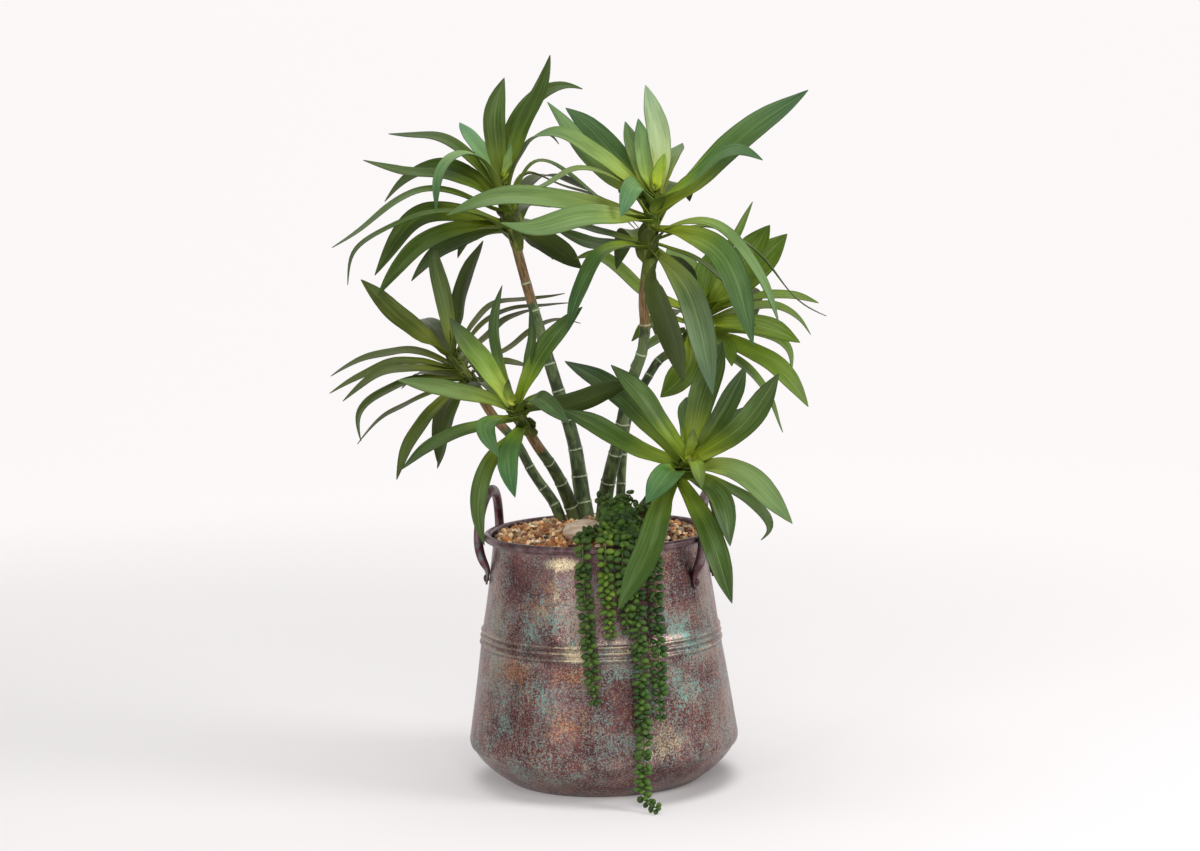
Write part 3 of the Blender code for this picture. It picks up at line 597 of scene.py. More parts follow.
def strapFinish(name, dark, light):
    finish, place = newFinish(name, {"IOR": 1.5})
    broad, fine = place.noise(0.055, 3, 0.6), place.noise(0.5, 3, 0.6)
    colour = coated(blended(broad.above(0.4, 0.6), dark, light),
                    ((fine * 0.5 + broad * 0.5).above(0.55, 0.64) * 0.55, "8d8a88"),
                    ((place.noise(0.11, 3, 0.6) * 0.6 + fine * 0.4).above(0.56, 0.62) * 0.6, "5f8f8a"),
                    (place.noise(0.7).above(0.62, 0.7) * 0.5, "3a2224"))
    return fed(finish, {"Base Color": colour, "Roughness": 0.3 + fine * 0.24, "Metallic": 0.55 + broad * 0.3,
                        "Normal": raised(fine + place.noise(0.12) * 2, 0.25, 0.0006)})


print("handles and rivets")
strapMetal = strapFinish("strapCopper", "573539", "7d6065")
rivetMetal = strapFinish("rivetCopper", "48292d", "5d4044")
for side in handle["azimuths"]:
    strap = makeHandle(side)
    dress(strap, strapMetal)
    stands(strap, "handle_metal", "handle_" + side)
    for turn in (-handle["rivetAzimuth"], handle["rivetAzimuth"]):
        end = "front" if (turn < 0) == (side == "right") else "rear"
        rivet = makeRivet("rivet" + side.capitalize() + end.capitalize(), handle["azimuths"][side] + turn)
        dress(rivet, rivetMetal)
        stands(rivet, "rivet_metal", "rivet_" + side + "_" + end)


# potting mix, gravel and the pebble

gravel = {
    "edgeRadius": 104, "edgeHeight": 245, "rise": 10, "spacing": 5.1, "rowStep": 0.87, "reach": 104.5,
    "stray": 1.5, "sizes": (2.1, 4.1), "loose": 0.16, "seed": 11, "templates": (3, 8, 14),
    # how often each tone is drawn
    "tones": {"c48c54": 5, "b06a34": 4, "e8cca0": 4, "523524": 2, "86705c": 1, "8c4c2c": 2, "d49e62": 4,
              "dcb480": 4, "9c6238": 3, "f6e4c4": 3}, "shades": (0.4, 0.85, 1.15, 1.4, 1.75),
}
pebble = {"at": (-14.5, -59, 259.2), "radii": (22, 17, 12.5), "tone": "e4cfb8", "layer": "c4a88c"}


def heapHeight(r):
    return gravel["edgeHeight"] + gravel["rise"] * (1 - (r / gravel["edgeRadius"]) ** 2)


def stoneTemplate(seed):
    stone = ball("stoneTemplate" + str(seed), 8, 5, radius=1)
    shaped(stone, everywhere, bpy.ops.transform.vertex_random, offset=0.22, uniform=0.3, normal=0.4,
           seed=seed)
    return stone


def makeStone(draw, templates, x, y, r):
    stone = copyOf(templates[draw.randrange(3)])
    long = draw.uniform(*gravel["sizes"])
    size = Matrix.Diagonal((long, long * draw.uniform(0.65, 0.95), long * draw.uniform(0.55, 0.85), 1))
    turn = Euler([draw.uniform(0, fullTurn) for _ in range(3)]).to_matrix().to_4x4()
    lift = draw.uniform(-0.8, 2.2) + (draw.uniform(1, 2.6) if draw.random() < gravel["loose"] else 0)
    place = Matrix.Translation((x, y, heapHeight(min(r, gravel["edgeRadius"])) + lift))
    stone.data.transform(Matrix.Scale(metre, 4) @ place @ turn @ size)
    tone = hexColour(draw.choices(list(gravel["tones"]), list(gravel["tones"].values()))[0])
    shade = draw.choice(gravel["shades"]) * draw.uniform(0.85, 1.15)
    writeTone(stone, [*(c * shade for c in tone[:3]), 1])
    return stone


def makeGravel():
    draw = random.Random(gravel["seed"])
    templates = [stoneTemplate(seed) for seed in gravel["templates"]]
    stones, step, row, reach, stray = [], gravel["spacing"], 0, gravel["reach"], gravel["stray"]
    y = -reach
    while y < reach:
        x = -reach + (step * 0.5 if row % 2 else 0)
        while x < reach:
            px, py = x + draw.uniform(-stray, stray), y + draw.uniform(-stray, stray)
            r = math.hypot(px, py)
            if r < reach:
                stones.append(makeStone(draw, templates, px, py, r))
            x += step
        y += step * gravel["rowStep"]
        row += 1
    for template in templates:
        bpy.data.objects.remove(template)
    whole = joined("gravelStones", stones)
    smooth(whole, 55)
    return whole


def makePebble():
    stone = ball("pebbleStone", 32, 20, radius=1)
    resized(stone, lambda corner: corner.x < -0.2, (0.96, 0.9, 0.92), (-0.2, 0, 0))
    resized(stone, lambda corner: corner.z > 0.75, (1, 1, 0.9), (0, 0, 0.75))
    stone.data.transform(sized(pebble["at"], pebble["radii"]))
    rounding = stone.modifiers.new("rounding", "SUBSURF")
    rounding.levels = rounding.render_levels = 1
    applyAll(stone)
    outward(stone)
    smooth(stone, 80)
    return stone


def gravelFinish():
    finish, place = newFinish("peaGravel", {"IOR": 1.48})
    fine = place.noise(0.8, 3, 0.6)
    colour = blended(fine.above(0.42, 0.6) * 0.35, attribute(place, "tone", "Color"), "a87850", "MULTIPLY")
    colour = blended(place.noise(0.35).above(0.54, 0.68) * 0.25, colour, "ecd3a8")
    return fed(finish, {"Base Color": colour, "Roughness": 0.3 + fine * 0.3,
                        "Normal": raised(fine, 0.3, 0.0005)})


def bedFinish(name, dark, light):
    finish, place = newFinish(name, {"IOR": 1.45})
    grain = place.noise(0.5, 4, 0.65)
    return fed(finish, {"Base Color": blended(grain.above(0.4, 0.62), dark, light),
                        "Roughness": 0.75 + grain * 0.2, "Normal": raised(grain, 0.8, 0.002)})


def pebbleFinish():
    finish, place = newFinish("palePebble", {"IOR": 1.5})
    layers = place.times((0.25, 0.25, 1)).noise(0.35, 3, 0.5, 0.3)
    grain = place.noise(0.9, 3, 0.6)
    colour = coated(blended(layers.above(0.38, 0.62), pebble["layer"], pebble["tone"]),
                    (grain.above(0.58, 0.7) * 0.35, "8e7864"))
    return fed(finish, {"Base Color": colour, "Roughness": 0.5 + grain * 0.2,
                        "Normal": raised(grain, 0.15, 0.0004)})


print("gravel and pebble")
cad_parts["potting_mix"].material_slots[0].material = bedFinish("pottingMix", "1d130c", "4a3626")
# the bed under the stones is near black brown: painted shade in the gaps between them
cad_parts["gravel_topping"].material_slots[0].material = bedFinish("gravelBedShade", "160d08", "4c2f1b")
stones = makeGravel()
dress(stones, gravelFinish())
stands(stones, "gravel")
palePebble = makePebble()
dress(palePebble, pebbleFinish())
stands(palePebble, "pebble", "pebble")


# canes: (x, y, z, radius) from the buried foot to the neck under the leaves, then the heights of
# the pale rings, where the green skin gives way to bark and where the leaves' sheath begins

canes = {
    "a": {"run": [(-2, 62, 130, 8.6), (-11, 60, 246, 8.8), (-16, 60, 276, 8.6), (-22, 60, 327, 7.3),
                  (-38, 60, 388, 6.6), (-53, 60, 443, 5.8), (-68, 60, 500, 5.2), (-77, 60, 538, 5)],
          "rings": (272, 299, 327, 357, 388, 416, 442, 471, 499), "bark": 478, "sheath": 533},
    "b": {"run": [(4, 38, 130, 7.8), (4, 33, 250, 7.8), (10, 21, 293, 7.5), (18, 8, 325, 7),
                  (26, -3, 358, 6.5), (37, -18, 404, 6), (47, -26, 431, 5.6), (51, -33, 461, 5.3),
                  (50, -38, 484, 5), (55, -45, 522, 5)],
          "rings": (298, 328, 360, 395, 431, 461), "bark": 459, "sheath": 499},
    "c": {"run": [(24, 66, 130, 5), (22, 62, 252, 5), (25, 62, 300, 4.8), (30, 64, 345, 4.6),
                  (40, 67, 375, 4.5), (54, 70, 397, 4.5), (68, 76, 416, 4.6), (84, 80, 426, 4.8),
                  (95, 80, 436, 5)],
          "rings": (290, 320, 350, 380, 400, 414), "bark": 419, "sheath": 434},
    "d": {"run": [(-36, 52, 130, 5.8), (-38, 50, 252, 5.8), (-44, 50, 270, 5.6), (-56, 50, 289, 5.4),
                  (-70, 50, 312, 5), (-82, 50, 336, 4.8), (-102, 50, 360, 4.8), (-122, 50, 395, 5)],
          "rings": (272, 289, 311, 336), "bark": 350, "sheath": 380},
    "e": {"run": [(-24, 38, 130, 7.4), (-20, 42, 246, 7.4), (-26, 38, 266, 7.4), (-36, 24, 295, 6.6),
                  (-48, 8, 320, 5.8), (-58, -12, 338, 5.4), (-67, -38, 358, 5.2)],
          "rings": (272, 298, 321), "bark": 336, "sheath": 356},
    "f": {"run": [(33, 8, 130, 7.2), (35, 6, 252, 7.2), (42, 0, 266, 7.2), (52, -15, 281, 7),
                  (62, -42, 299, 6.4), (73, -75, 315, 5.6)],
          "rings": (282, 300), "bark": 307, "sheath": 313},
}
caneForm = {
    "sides": 20, "samples": 161, "stations": 34, "clear": 3.4, "flare": 0.075, "waist": 0.035,
    "ringSteps": (-2.4, -1, -0.55, 0, 0.55, 1, 2.4),
    # share of the way from the neck to the crown, and the radius there
    "head": ((0.12, 6), (0.3, 6.3), (0.5, 5.8), (0.75, 4.4), (1, 2.2)),
}
caneLook = {"deep": "384528", "green": "64754a", "olive": "868f5c", "ring": "c6d0ae", "bark": "96794f",
            "barkDark": "664a30", "barkPale": "a28b67", "sheath": "7c8438", "sheathDark": "48521f"}


def makeCane(key, crown):
    cane, samples = canes[key], caneForm["samples"]
    fine = smoothRun(cane["run"], samples)
    neck = fine[-1][:3]
    head = [[*(neck + (np.array(crown) - neck) * share), radius] for share, radius in caneForm["head"]]
    fine = np.concatenate([fine, head])
    lengths = lengthsAlong(fine[:, :3])

    def lengthAt(height):
        return float(np.interp(height, fine[:samples, 2], lengths[:samples]))

    ringAt, sheathAt = [lengthAt(height) for height in cane["rings"]], lengthAt(cane["sheath"])
    stations = {s for s in np.round(np.linspace(0, lengths[-1], caneForm["stations"]), 2)
                if all(abs(s - at) > caneForm["clear"] for at in ringAt)}
    stations |= {round(at + step, 2) for at in ringAt for step in caneForm["ringSteps"]}
    stations = np.array(sorted(stations))
    rows = np.stack([np.interp(stations, lengths, fine[:, c]) for c in range(4)], axis=1)
    halves, zones = [], []
    for at, row in zip(stations, rows):
        away = min(abs(at - r) for r in ringAt)
        since = min((at - r for r in ringAt if at >= r), default=20)
        swell = 1 + caneForm["flare"] * math.exp(-(away / 1.1) ** 2)
        half = row[3] * (swell - caneForm["waist"] * math.exp(-((since - 5) / 5) ** 2))
        halves.append((half, half))
        zones.append((away < 0.7, (row[2] - cane["bark"]) / 6 + 0.5, (at - sheathAt) / 4))
    frames = carriedFrames(rows[:, :3], (1, 0, 0))
    piece, ring = bentRod("cane" + key.upper(), rows[:, :3], halves, frames, caneForm["sides"])
    writeLayer(piece, "zones", np.clip(zones, 0, 1)[ring])
    outward(piece)
    smooth(piece, 60)
    return piece


def caneFinish():
    finish, place = newFinish("ringedCane", {"IOR": 1.47, "Specular IOR Level": 0.32})
    look, grown = caneLook, attribute(place, "grown")
    ringZone, barkZone, sheathZone = apart(attribute(place, "zones"))
    fibre = grown.times((1, 1, 0.09)).noise(0.85, 3, 0.6)
    broad = grown.times((1, 1, 0.45)).noise(0.11, 3, 0.55)
    fine = place.noise(0.6, 3, 0.6)
    bark = coated(blended(fibre.above(0.4, 0.62), look["barkDark"], look["bark"]),
                  (broad.above(0.5, 0.64) * 0.6, look["barkPale"]))
    colour = coated(blended(broad.above(0.38, 0.6), look["deep"], look["green"]),
                    ((fibre * 0.7 + broad * 0.3).above(0.5, 0.66) * 0.6, look["olive"]),
                    ((barkZone + (broad - 0.5) * 1.2).above(0.42, 0.58), bark),
                    (sheathZone, blended(fibre.above(0.4, 0.6), look["sheathDark"], look["sheath"])),
                    (ringZone * (fine * 0.6 + broad * 0.4).above(0.36, 0.5) * 0.85, look["ring"]))
    return fed(finish, {"Base Color": colour, "Roughness": 0.42 + fibre * 0.25,
                        "Normal": raised(fibre + fine * 0.4, 0.35, 0.0006)})


# leaves: each blade is (width, lean, tone where it isn't the head's own, places along its midrib
# counted from the head's centre); lean rolls it about its midrib, in degrees, so that its upper
# face turns to the front

heads = {
    "a": {
        "crown": (-92, 65, 607), "centre": (-89, 65, 601), "tone": "leaf",
        "upper": [(10, 180, "pale", (6, -12, 24), (10, -16, 40)), (22, 0, (-7, 12, 65), (5, 25, 108)),
            (21, 60, (22, -4, 54), (39, -8, 90), (50, -10, 129)),
            (18, 45, (17, 18, 66), (66, 28, 98), (84, 30, 94)),
            (20, 0, "curl", (-26, 32, 40), (-45, 70, 62)), (20, 20, (-60, 22, 44), (-117, 34, 56)),
            (20, 10, "curl", (-28, -12, 28), (-54, -26, 22), (-68, -36, -26)),
            (9, 0, (34, 32, 46), (50, 40, 46), (58, 42, 38))],
        "middle": [(18, 45, (-58, 20, 20), (-93, 26, 13), (-122, 28, -17)),
            (20, 25, (-54, -5, 9), (-105, -4, 15), (-141, 0, 27)),
            (15, 10, (38, 4, 22), (85, 5, -4), (132, 0, -51)),
            (15, 5, (28, 26, 9), (53, 32, 1), (100, 38, -17), (137, 40, -52)),
            (20, 15, "glossy", (-92, -16, -8), (-144, -16, -38), (-175, -14, -60)),
            (22, 0, "shade", (45, 62, 6), (92, 104, -14)), (22, 0, (-12, 75, 12), (-22, 148, -20))],
        "lower": [(26, 48, (-80, -6, -33), (-135, -12, -88)), (24, 35, (-73, -28, -53), (-127, -44, -110)),
            (16, 10, (-36, -34, -28), (-105, -44, -37), (-153, -46, -65), (-158, -46, -97)),
            (23, 55, (-49, 24, -56), (-99, 40, -100)), (26, -50, "olive", (46, 16, -65), (78, 22, -90)),
            (18, 0, (22, 46, -24), (46, 86, -28)), (22, 0, (34, 90, -46), (48, 126, -84)),
            (22, 0, (-30, 84, -40), (-54, 132, -82))],
    },
    "b": {
        "crown": (66, -50, 596), "centre": (64, -50, 595), "tone": "leaf",
        "upper": [(12, 180, "heart", (3, -14, 16), (9, -18, 34)),
            (24, 0, "bloom", (5, 10, 52), (-8, 18, 100)), (17, 70, "pale", (-11, 0, 38), (-16, 2, 68)),
            (16, 70, "pale", (-22, 8, 47), (-27, 12, 66)), (20, 0, "pale", (15, 18, 25), (28, 42, 44)),
            (19, 40, "sheen", (50, -20, 19), (80, -31, 35), (103, -38, 26)),
            (20, 45, "pale", (-54, -6, 35), (-98, -10, 56), (-117, -12, 51)),
            (24, 50, "sheen", (-49, 30, 47), (-87, 46, 79)),
            (20, 45, "pale", (-64, 10, 32), (-104, 14, 86)),
            (19, 40, "curl", (-19, -22, 3), (-35, -38, -25))],
        "middle": [(26, 60, "sheen", (74, 6, 34), (150, 10, 94)),
            (14, 15, "pale", (-54, -20, 20), (-78, -24, 21), (-108, -24, 4), (-133, -22, -2)),
            (24, 45, "jade", (-93, -34, -8), (-167, -32, -7), (-203, -26, -19)),
            (24, 50, "jade", (-83, -52, -27), (-123, -58, -34), (-150, -60, -28)),
            (24, 0, (-18, 70, 16), (-36, 138, -8)), (22, 0, (24, 60, 2), (36, 112, -16)),
            (25, 50, "sheen", (56, -40, -58), (90, -60, -151)),
            (12, 40, "jade", (52, -12, -34), (90, -22, -72), (117, -26, -133))],
        "lower": [(12, 10, (50, 12, -38), (102, 20, -73), (146, 28, -119), (169, 30, -129)),
            (14, 15, (56, 2, -84), (96, 4, -138)), (14, 20, "fresh", (-54, 8, -41), (-98, 10, -34)),
            (18, 30, (-48, 34, -56), (-103, 44, -37)),
            (20, 20, "sheen", (-54, -22, -60), (-78, -30, -98), (-88, -32, -134)),
            (26, 25, "greyGreen", (32, -44, -107), (48, -70, -197)),
            (30, 180, "frontUnder", (4, -24, -112), (22, -30, -188)),
            (14, 0, (26, 40, -76), (40, 52, -112)), (22, 0, (-26, 56, -44), (-40, 80, -82))],
    },
    "c": {
        "crown": (116, 80, 465), "centre": (112, 80, 463), "tone": "lime",
        "upper": [(14, 40, (33, 6, 75), (56, 12, 112)), (26, 70, (45, -6, 51), (72, -8, 88)),
            (24, 70, (60, 16, 48), (92, 20, 77)), (22, 0, (6, 18, 34), (12, 34, 62)),
            (20, 15, (65, -20, 17), (117, -38, 8)),
            (20, 30, (-73, -8, 35), (-114, -10, 62), (-129, -10, 59))],
        "middle": [(22, 0, (-14, 52, 44), (-30, 94, 66)),
            (16, 20, (68, 12, 2), (103, 14, -10), (115, 14, -26)), (22, 35, (56, -44, -12), (96, -64, -28)),
            (24, 0, (40, 58, 16), (66, 122, -12)), (22, 0, (-26, 62, 0), (-44, 122, -34)),
            (16, 20, (-54, -16, -8), (-74, -18, -26))],
        "lower": [(18, 25, (64, 4, -26), (92, 6, -44), (94, 6, -66)),
            (20, 35, (60, -30, -44), (104, -42, -97)), (22, 30, (56, 26, -76), (86, 34, -130)),
            (16, 10, (20, -30, -30), (28, -44, -52)), (20, 30, (-52, 30, -34), (-74, 40, -58)),
            (24, 20, (-16, -32, -54), (-46, -46, -82)), (22, 0, (8, 76, -46), (16, 120, -98))],
    },
    "d": {
        "crown": (-150, 50, 431), "centre": (-145, 50, 415), "tone": "olive",
        "upper": [(24, 50, (-42, -6, 46), (-91, -10, 92)), (18, 50, "dull", (-7, -6, 70), (-15, -8, 131)),
            (26, -50, "under", (13, 8, 78), (33, 12, 129)),
            (14, 10, "mist", (44, 28, 61), (76, 36, 67), (116, 40, 72)),
            (12, 10, "mist", (49, 20, 54), (95, 40, 61), (121, 44, 60)),
            (22, 0, "shade", (-24, 56, 40), (-46, 110, 44))],
        "middle": [(12, 10, "mist", (50, 32, 42), (90, 50, 55)),
            (17, 20, (-48, 12, 18), (-99, 16, 8), (-126, 18, -8)), (17, 20, (-62, -4, 7), (-126, -4, -23)),
            (17, 20, (-60, -22, 0), (-112, -26, -28)),
            (12, 10, "mist", (50, 14, 14), (80, 24, 31), (110, 40, 44), (132, 44, 41)),
            (22, 0, (14, 70, 12), (22, 132, -26))],
        "lower": [(14, 20, "mist", (54, 2, 4), (79, 8, -2)), (20, 20, (-32, 36, -8), (-60, 70, -26)),
            (18, 15, (-66, -18, -18), (-97, -24, -43), (-94, -24, -70)),
            (14, 15, (-67, 8, -46), (-101, 12, -78)), (20, 15, (-36, -28, -58), (-58, -38, -109)),
            (16, 45, "under", (-10, 4, -66), (-20, 6, -104)), (22, 0, (-14, 66, -50), (-26, 100, -110)),
            (22, 0, (46, 56, -34), (74, 92, -84))],
    },
    "e": {
        "crown": (-82, -65, 390), "centre": (-82, -65, 387), "tone": "deep",
        "upper": [(9, 180, "spring", (-3, -10, 12), (-2, -13, 27)),
            (22, 60, "spring", (-30, 0, 45), (-57, 4, 88)), (10, 30, (-16, 10, 74), (-5, 16, 117)),
            (10, 40, (20, 8, 56), (19, 10, 98)), (22, 50, "fresh", (34, 0, 54), (72, 6, 94)),
            (22, 40, "split", (-59, -5, 18), (-111, -10, 27)), (22, 20, (24, -26, 8), (57, -50, -12))],
        "middle": [(24, -55, "under", (66, -8, 3), (121, -14, 20)),
            (20, 0, "fresh", (-26, 52, 16), (-44, 98, 4)),
            (18, 10, "deepCurl", (-24, -30, -17), (-12, -42, -46)),
            (20, 25, "fresh", (-60, -6, -27), (-109, -12, -59)), (20, 0, (32, 44, 2), (58, 78, -22))],
        "lower": [(20, 0, "deepCurl", (-3, -30, -46), (2, -38, -86)),
            (16, 30, "fresh", (-31, -16, -67), (-35, -22, -112), (-29, -26, -134))],
    },
    "f": {
        "crown": (90, -110, 334), "centre": (90, -110, 332), "tone": "fresh",
        "upper": [(11, 0, "youngScale", (1, -8, 18), (4, -8, 33)), (22, 50, (-38, 0, 54), (-74, 4, 96)),
            (26, 30, (18, 22, 66), (34, 36, 114)), (22, 60, "deep", (38, 4, 57), (55, 10, 92)),
            (24, 55, (57, -16, 46), (87, -18, 85)), (13, 10, "youngScale", (5, -18, 2), (10, -30, -22)),
            (22, 0, (4, 54, 34), (2, 100, 52))],
        "middle": [(24, 30, "deep", (-58, 42, 52), (-118, 84, 95)), (22, 45, (-66, 4, 22), (-125, 16, 54)),
            (24, 35, "jade", (55, -30, -12), (95, -45, -55)),
            (24, 20, "deepCurl", (-22, -26, -8), (-44, -46, -32)),
            (22, 0, "deep", (38, 44, 30), (68, 80, 48))],
        "lower": [(16, 15, (60, -8, -40), (74, -8, -66), (66, -8, -76)),
            (22, 10, (28, -30, -36), (36, -42, -76)), (22, 20, (17, -20, -68), (37, -34, -133)),
            (26, 10, "plain", (-42, -34, -72), (-72, -46, -134))],
    },
}
whorls = ("upper", "middle", "lower")
leafForm = {
    "segments": 32, "rows": 6, "thickness": 0.75, "keel": 0.06, "stem": 4.9, "turnedBy": 0.24,
    "sunk": 2.2, "ruffle": 0.6,
    # share of the full width along the blade
    "outline": [(0, 0.6), (0.08, 0.62), (0.2, 0.74), (0.35, 0.92), (0.48, 1), (0.58, 0.99), (0.68, 0.92),
                (0.78, 0.76), (0.86, 0.55), (0.93, 0.3), (0.975, 0.13), (1, 0.012)],
    # how sharply it is bowed across: round the stem, then ever flatter
    "bow": ([0, 0.12, 0.32, 1], [1 / 6.6, 1 / 9, 1 / 42, 1 / 110]),
    "fuller": {"a": 1.06, "b": 1.08, "c": 1.2, "d": 1.04, "e": 1.06, "f": 1.06},
    "blunt": {"a": 0, "b": 0.05, "c": 0.24, "d": 0.05, "e": 0.05, "f": 0.18},
}
# short clasping scales round each neck: how many, width, length, how far out the tip stands
neckScales = {"upper": (0, 0, 0, 0), "middle": (5, 15, 24, 11), "lower": (8, 16, 32, 9)}
# colour at the base, in the middle and at the tip
leafTones = {
    "heart": ("cce030", "b4d030", "86ac34"), "spring": ("c8de58", "82a636", "12301a"),
    "fresh": ("98b826", "486a1a", "2e4c20"), "leaf": ("84a01c", "40600c", "324e14"),
    "sheen": ("98b828", "487428", "325c36"), "pale": ("b0cc3c", "7ea04c", "5c8450"),
    "bloom": ("bcd060", "a6c280", "8aae7a"), "jade": ("9cb840", "729854", "587f48"),
    "glossy": ("84a02c", "5c8034", "466634"), "lime": ("8cac1c", "648818", "50740e"),
    "olive": ("84962a", "546a1c", "445a18"), "mist": ("828e44", "647036", "525c30"),
    "dull": ("8a9a3a", "5c6e30", "4a5c30"), "scale": ("98a848", "76863a", "56642a"),
    "youngScale": ("b0cc34", "84a42c", "4f6c22"), "deep": ("8cac24", "38581a", "284626"),
    "deepCurl": ("94b830", "4c7c34", "3a6c3c"), "curl": ("9cc050", "78a860", "4c8656"),
    "under": ("6c8430", "4a6220", "3a5020"), "frontUnder": ("6c8430", "52682c", "445c26"),
    "greyGreen": ("829840", "506c40", "426246"), "shade": ("586c14", "364810", "283e10"),
    "plain": ("789c22", "42681a", "38601e"), "split": ("a0bc44", "74904a", "4e6c38"),
}


def leafTemplate():
    # a flat grid, drawn in row by row to the blade's outline, with a shallow keel
    segments, rows = leafForm["segments"], leafForm["rows"]
    blade = primitive("leafTemplate", bpy.ops.mesh.primitive_grid_add, x_subdivisions=segments,
                      y_subdivisions=rows, size=1, location=(0.5, 0, 0))
    for side in range(1, rows // 2 + 1):
        shaped(blade, lambda corner: abs(corner.y) > (side - 0.5) / rows, bpy.ops.transform.translate,
               value=(0, 0, leafForm["keel"] / (rows / 2)))
    for at in np.linspace(0, 1, segments + 1).tolist():
        share = float(np.interp(at, *zip(*leafForm["outline"])))
        resized(blade, lambda corner: abs(corner.x - at) < 0.3 / segments, (1, share, share), (at, 0, 0))
    return blade


def bladeFrames(base, places, rootSide, lean, stations):
    # the blade leaves the stem flat against it and has turned to its own lean a quarter of the way
    fine = smoothRun([base] + places, 97)
    last = len(fine) - 1
    reach = fine[-1] - fine[0]
    across = unitWay(np.array([-reach[1], reach[0], 0]))
    if np.dot(across, rootSide) < 0:
        across = -across
    towardsFront = 1 if across[1] < 0 else -1
    middles, sides, normals = [], [], []
    for at in stations:
        here = int(round(at * last))
        along = wayAt(fine, min(max(here, 1), last - 1))
        turned = min(1, at / leafForm["turnedBy"])
        side = squareTo(rootSide * (1 - turned) + across * turned, along)
        roll = math.radians(lean) * turned
        normal = np.cross(along, side) * math.cos(roll) + side * (towardsFront * math.sin(roll))
        middles.append(fine[here])
        sides.append(unitWay(np.cross(normal, along)))
        normals.append(normal)
    return np.array(middles), np.array(sides), np.array(normals)


def makeLeaf(template, way, out, base, places, width, lean, tone, draw, blunt=0):
    blade = copyOf(template)
    corners = cornersOf(blade)
    segments = leafForm["segments"]
    stations = np.linspace(0, 1, segments + 1)
    middles, sides, normals = bladeFrames(base, places, np.cross(way, out), lean, stations)
    length = lengthsAlong(middles)[-1]

    def wave(strength, turns):
        swing = np.sin(fullTurn * (turns * stations + draw.random())) * np.clip(stations * 2, 0, 1)
        return (strength * length * swing)[:, None]

    middles = middles + sides * wave(0.012, 0.8) + normals * wave(0.014, 1.1)
    # its foot is sunk into the stem
    middles = middles - out * (leafForm["sunk"] * np.clip(1 - stations / 0.05, 0, 1))[:, None]
    row = np.rint(corners[:, 0] * segments).astype(int)
    t = stations[row]
    fuller = width * (1 + blunt * np.interp(t, [0.45, 0.8], [0, 1]))
    y, z = corners[:, 1] * fuller, corners[:, 2] * fuller
    bow = np.interp(t, *leafForm["bow"])
    ruffle = np.sin(fullTurn * (2.6 * t + draw.random()) + 3 * np.sign(y)) * np.clip(t * 3, 0, 1)
    ruffle *= leafForm["ruffle"] * (corners[:, 1] * 2) ** 2
    spread, rise = np.sin(bow * y) / bow, z + (1 - np.cos(bow * y)) / bow + ruffle
    moveCorners(blade, (middles[row] + sides[row] * spread[:, None] + normals[row] * rise[:, None]) * metre)
    tones = np.array([hexColour(code) for code in leafTones[tone]])
    shades = np.stack([np.interp(t, [0.1, 0.42, 0.95], tones[:, c]) for c in range(4)], axis=1)
    shades[:, :3] *= np.array([draw.uniform(0.92, 1.12), 0.89, draw.uniform(0.86, 1.08)])
    shades[:, :3] *= draw.uniform(0.9, 1.1)
    writeLayer(blade, "tone", shades)
    across = corners[:, 1] / np.maximum(np.interp(t, *zip(*leafForm["outline"])), 0.02) + 0.5
    writeLayer(blade, "grown", np.stack([t, across, np.full(len(t), draw.random())], axis=1))
    return blade


def makeWhorl(template, key, index):
    head, lowest = heads[key], index == 2
    neck = np.array(canes[key]["run"][-1][:3], dtype=float)
    crown, centre = (np.array(head[place], dtype=float) for place in ("crown", "centre"))
    way = unitWay(crown - neck)
    start = neck + way * 1.2
    length = np.linalg.norm(crown - start) / 3
    low, high = start + way * (length * (2 - index) + 0.3), start + way * (length * (3 - index))
    rows, blades = head[whorls[index]], []
    for i, (width, lean, *places) in enumerate(rows):
        tone = places.pop(0) if isinstance(places[0], str) else head["tone"]
        onAxis = high + (low - high) * (0.12 + 0.76 * (i + 0.5) / len(rows))
        goals = [centre + np.array(place, dtype=float) for place in places]
        out = squareTo(goals[0] - onAxis, way)
        blades.append(makeLeaf(template, way, out, onAxis + out * leafForm["stem"], goals,
                               width * leafForm["fuller"][key], lean, tone, random.Random(f"{key}{index}{i}"),
                               leafForm["blunt"][key]))
    count, width, reach, standOff = neckScales[whorls[index]]
    count = round(count * min(1, length / 18))
    standOff, width = standOff * min(1, (length / 22) ** 2), width * min(1, length / 21)
    side = unitWay(np.cross(way, [0, 1, 0]))
    for i in range(count):
        draw = random.Random(f"scale{key}{index}{i}")
        turn = 2.4 * i + index + draw.uniform(-0.3, 0.3)
        out = side * math.cos(turn) + np.cross(way, side) * math.sin(turn)
        base = low + (high - low) * (0.95 * (i + 0.5) / count) - way * (10 if lowest else 0) + out * 4.6
        long = min(reach, length * 1.35) * draw.uniform(0.75, 1.15)
        tip = base + way * long + out * standOff * draw.uniform(0.5, 1.2)
        goals = [base + way * long * 0.6 + out * 2.2, tip]
        blades.append(makeLeaf(template, way, out, base, goals, width, 0,
                               "scale" if lowest else "youngScale", draw))
    whole = joined("leaves" + key.upper() + whorls[index].capitalize(), blades)
    shell = whole.modifiers.new("thickness", "SOLIDIFY")
    shell.thickness, shell.offset, shell.material_offset = leafForm["thickness"] * metre, -1, 1
    return whole


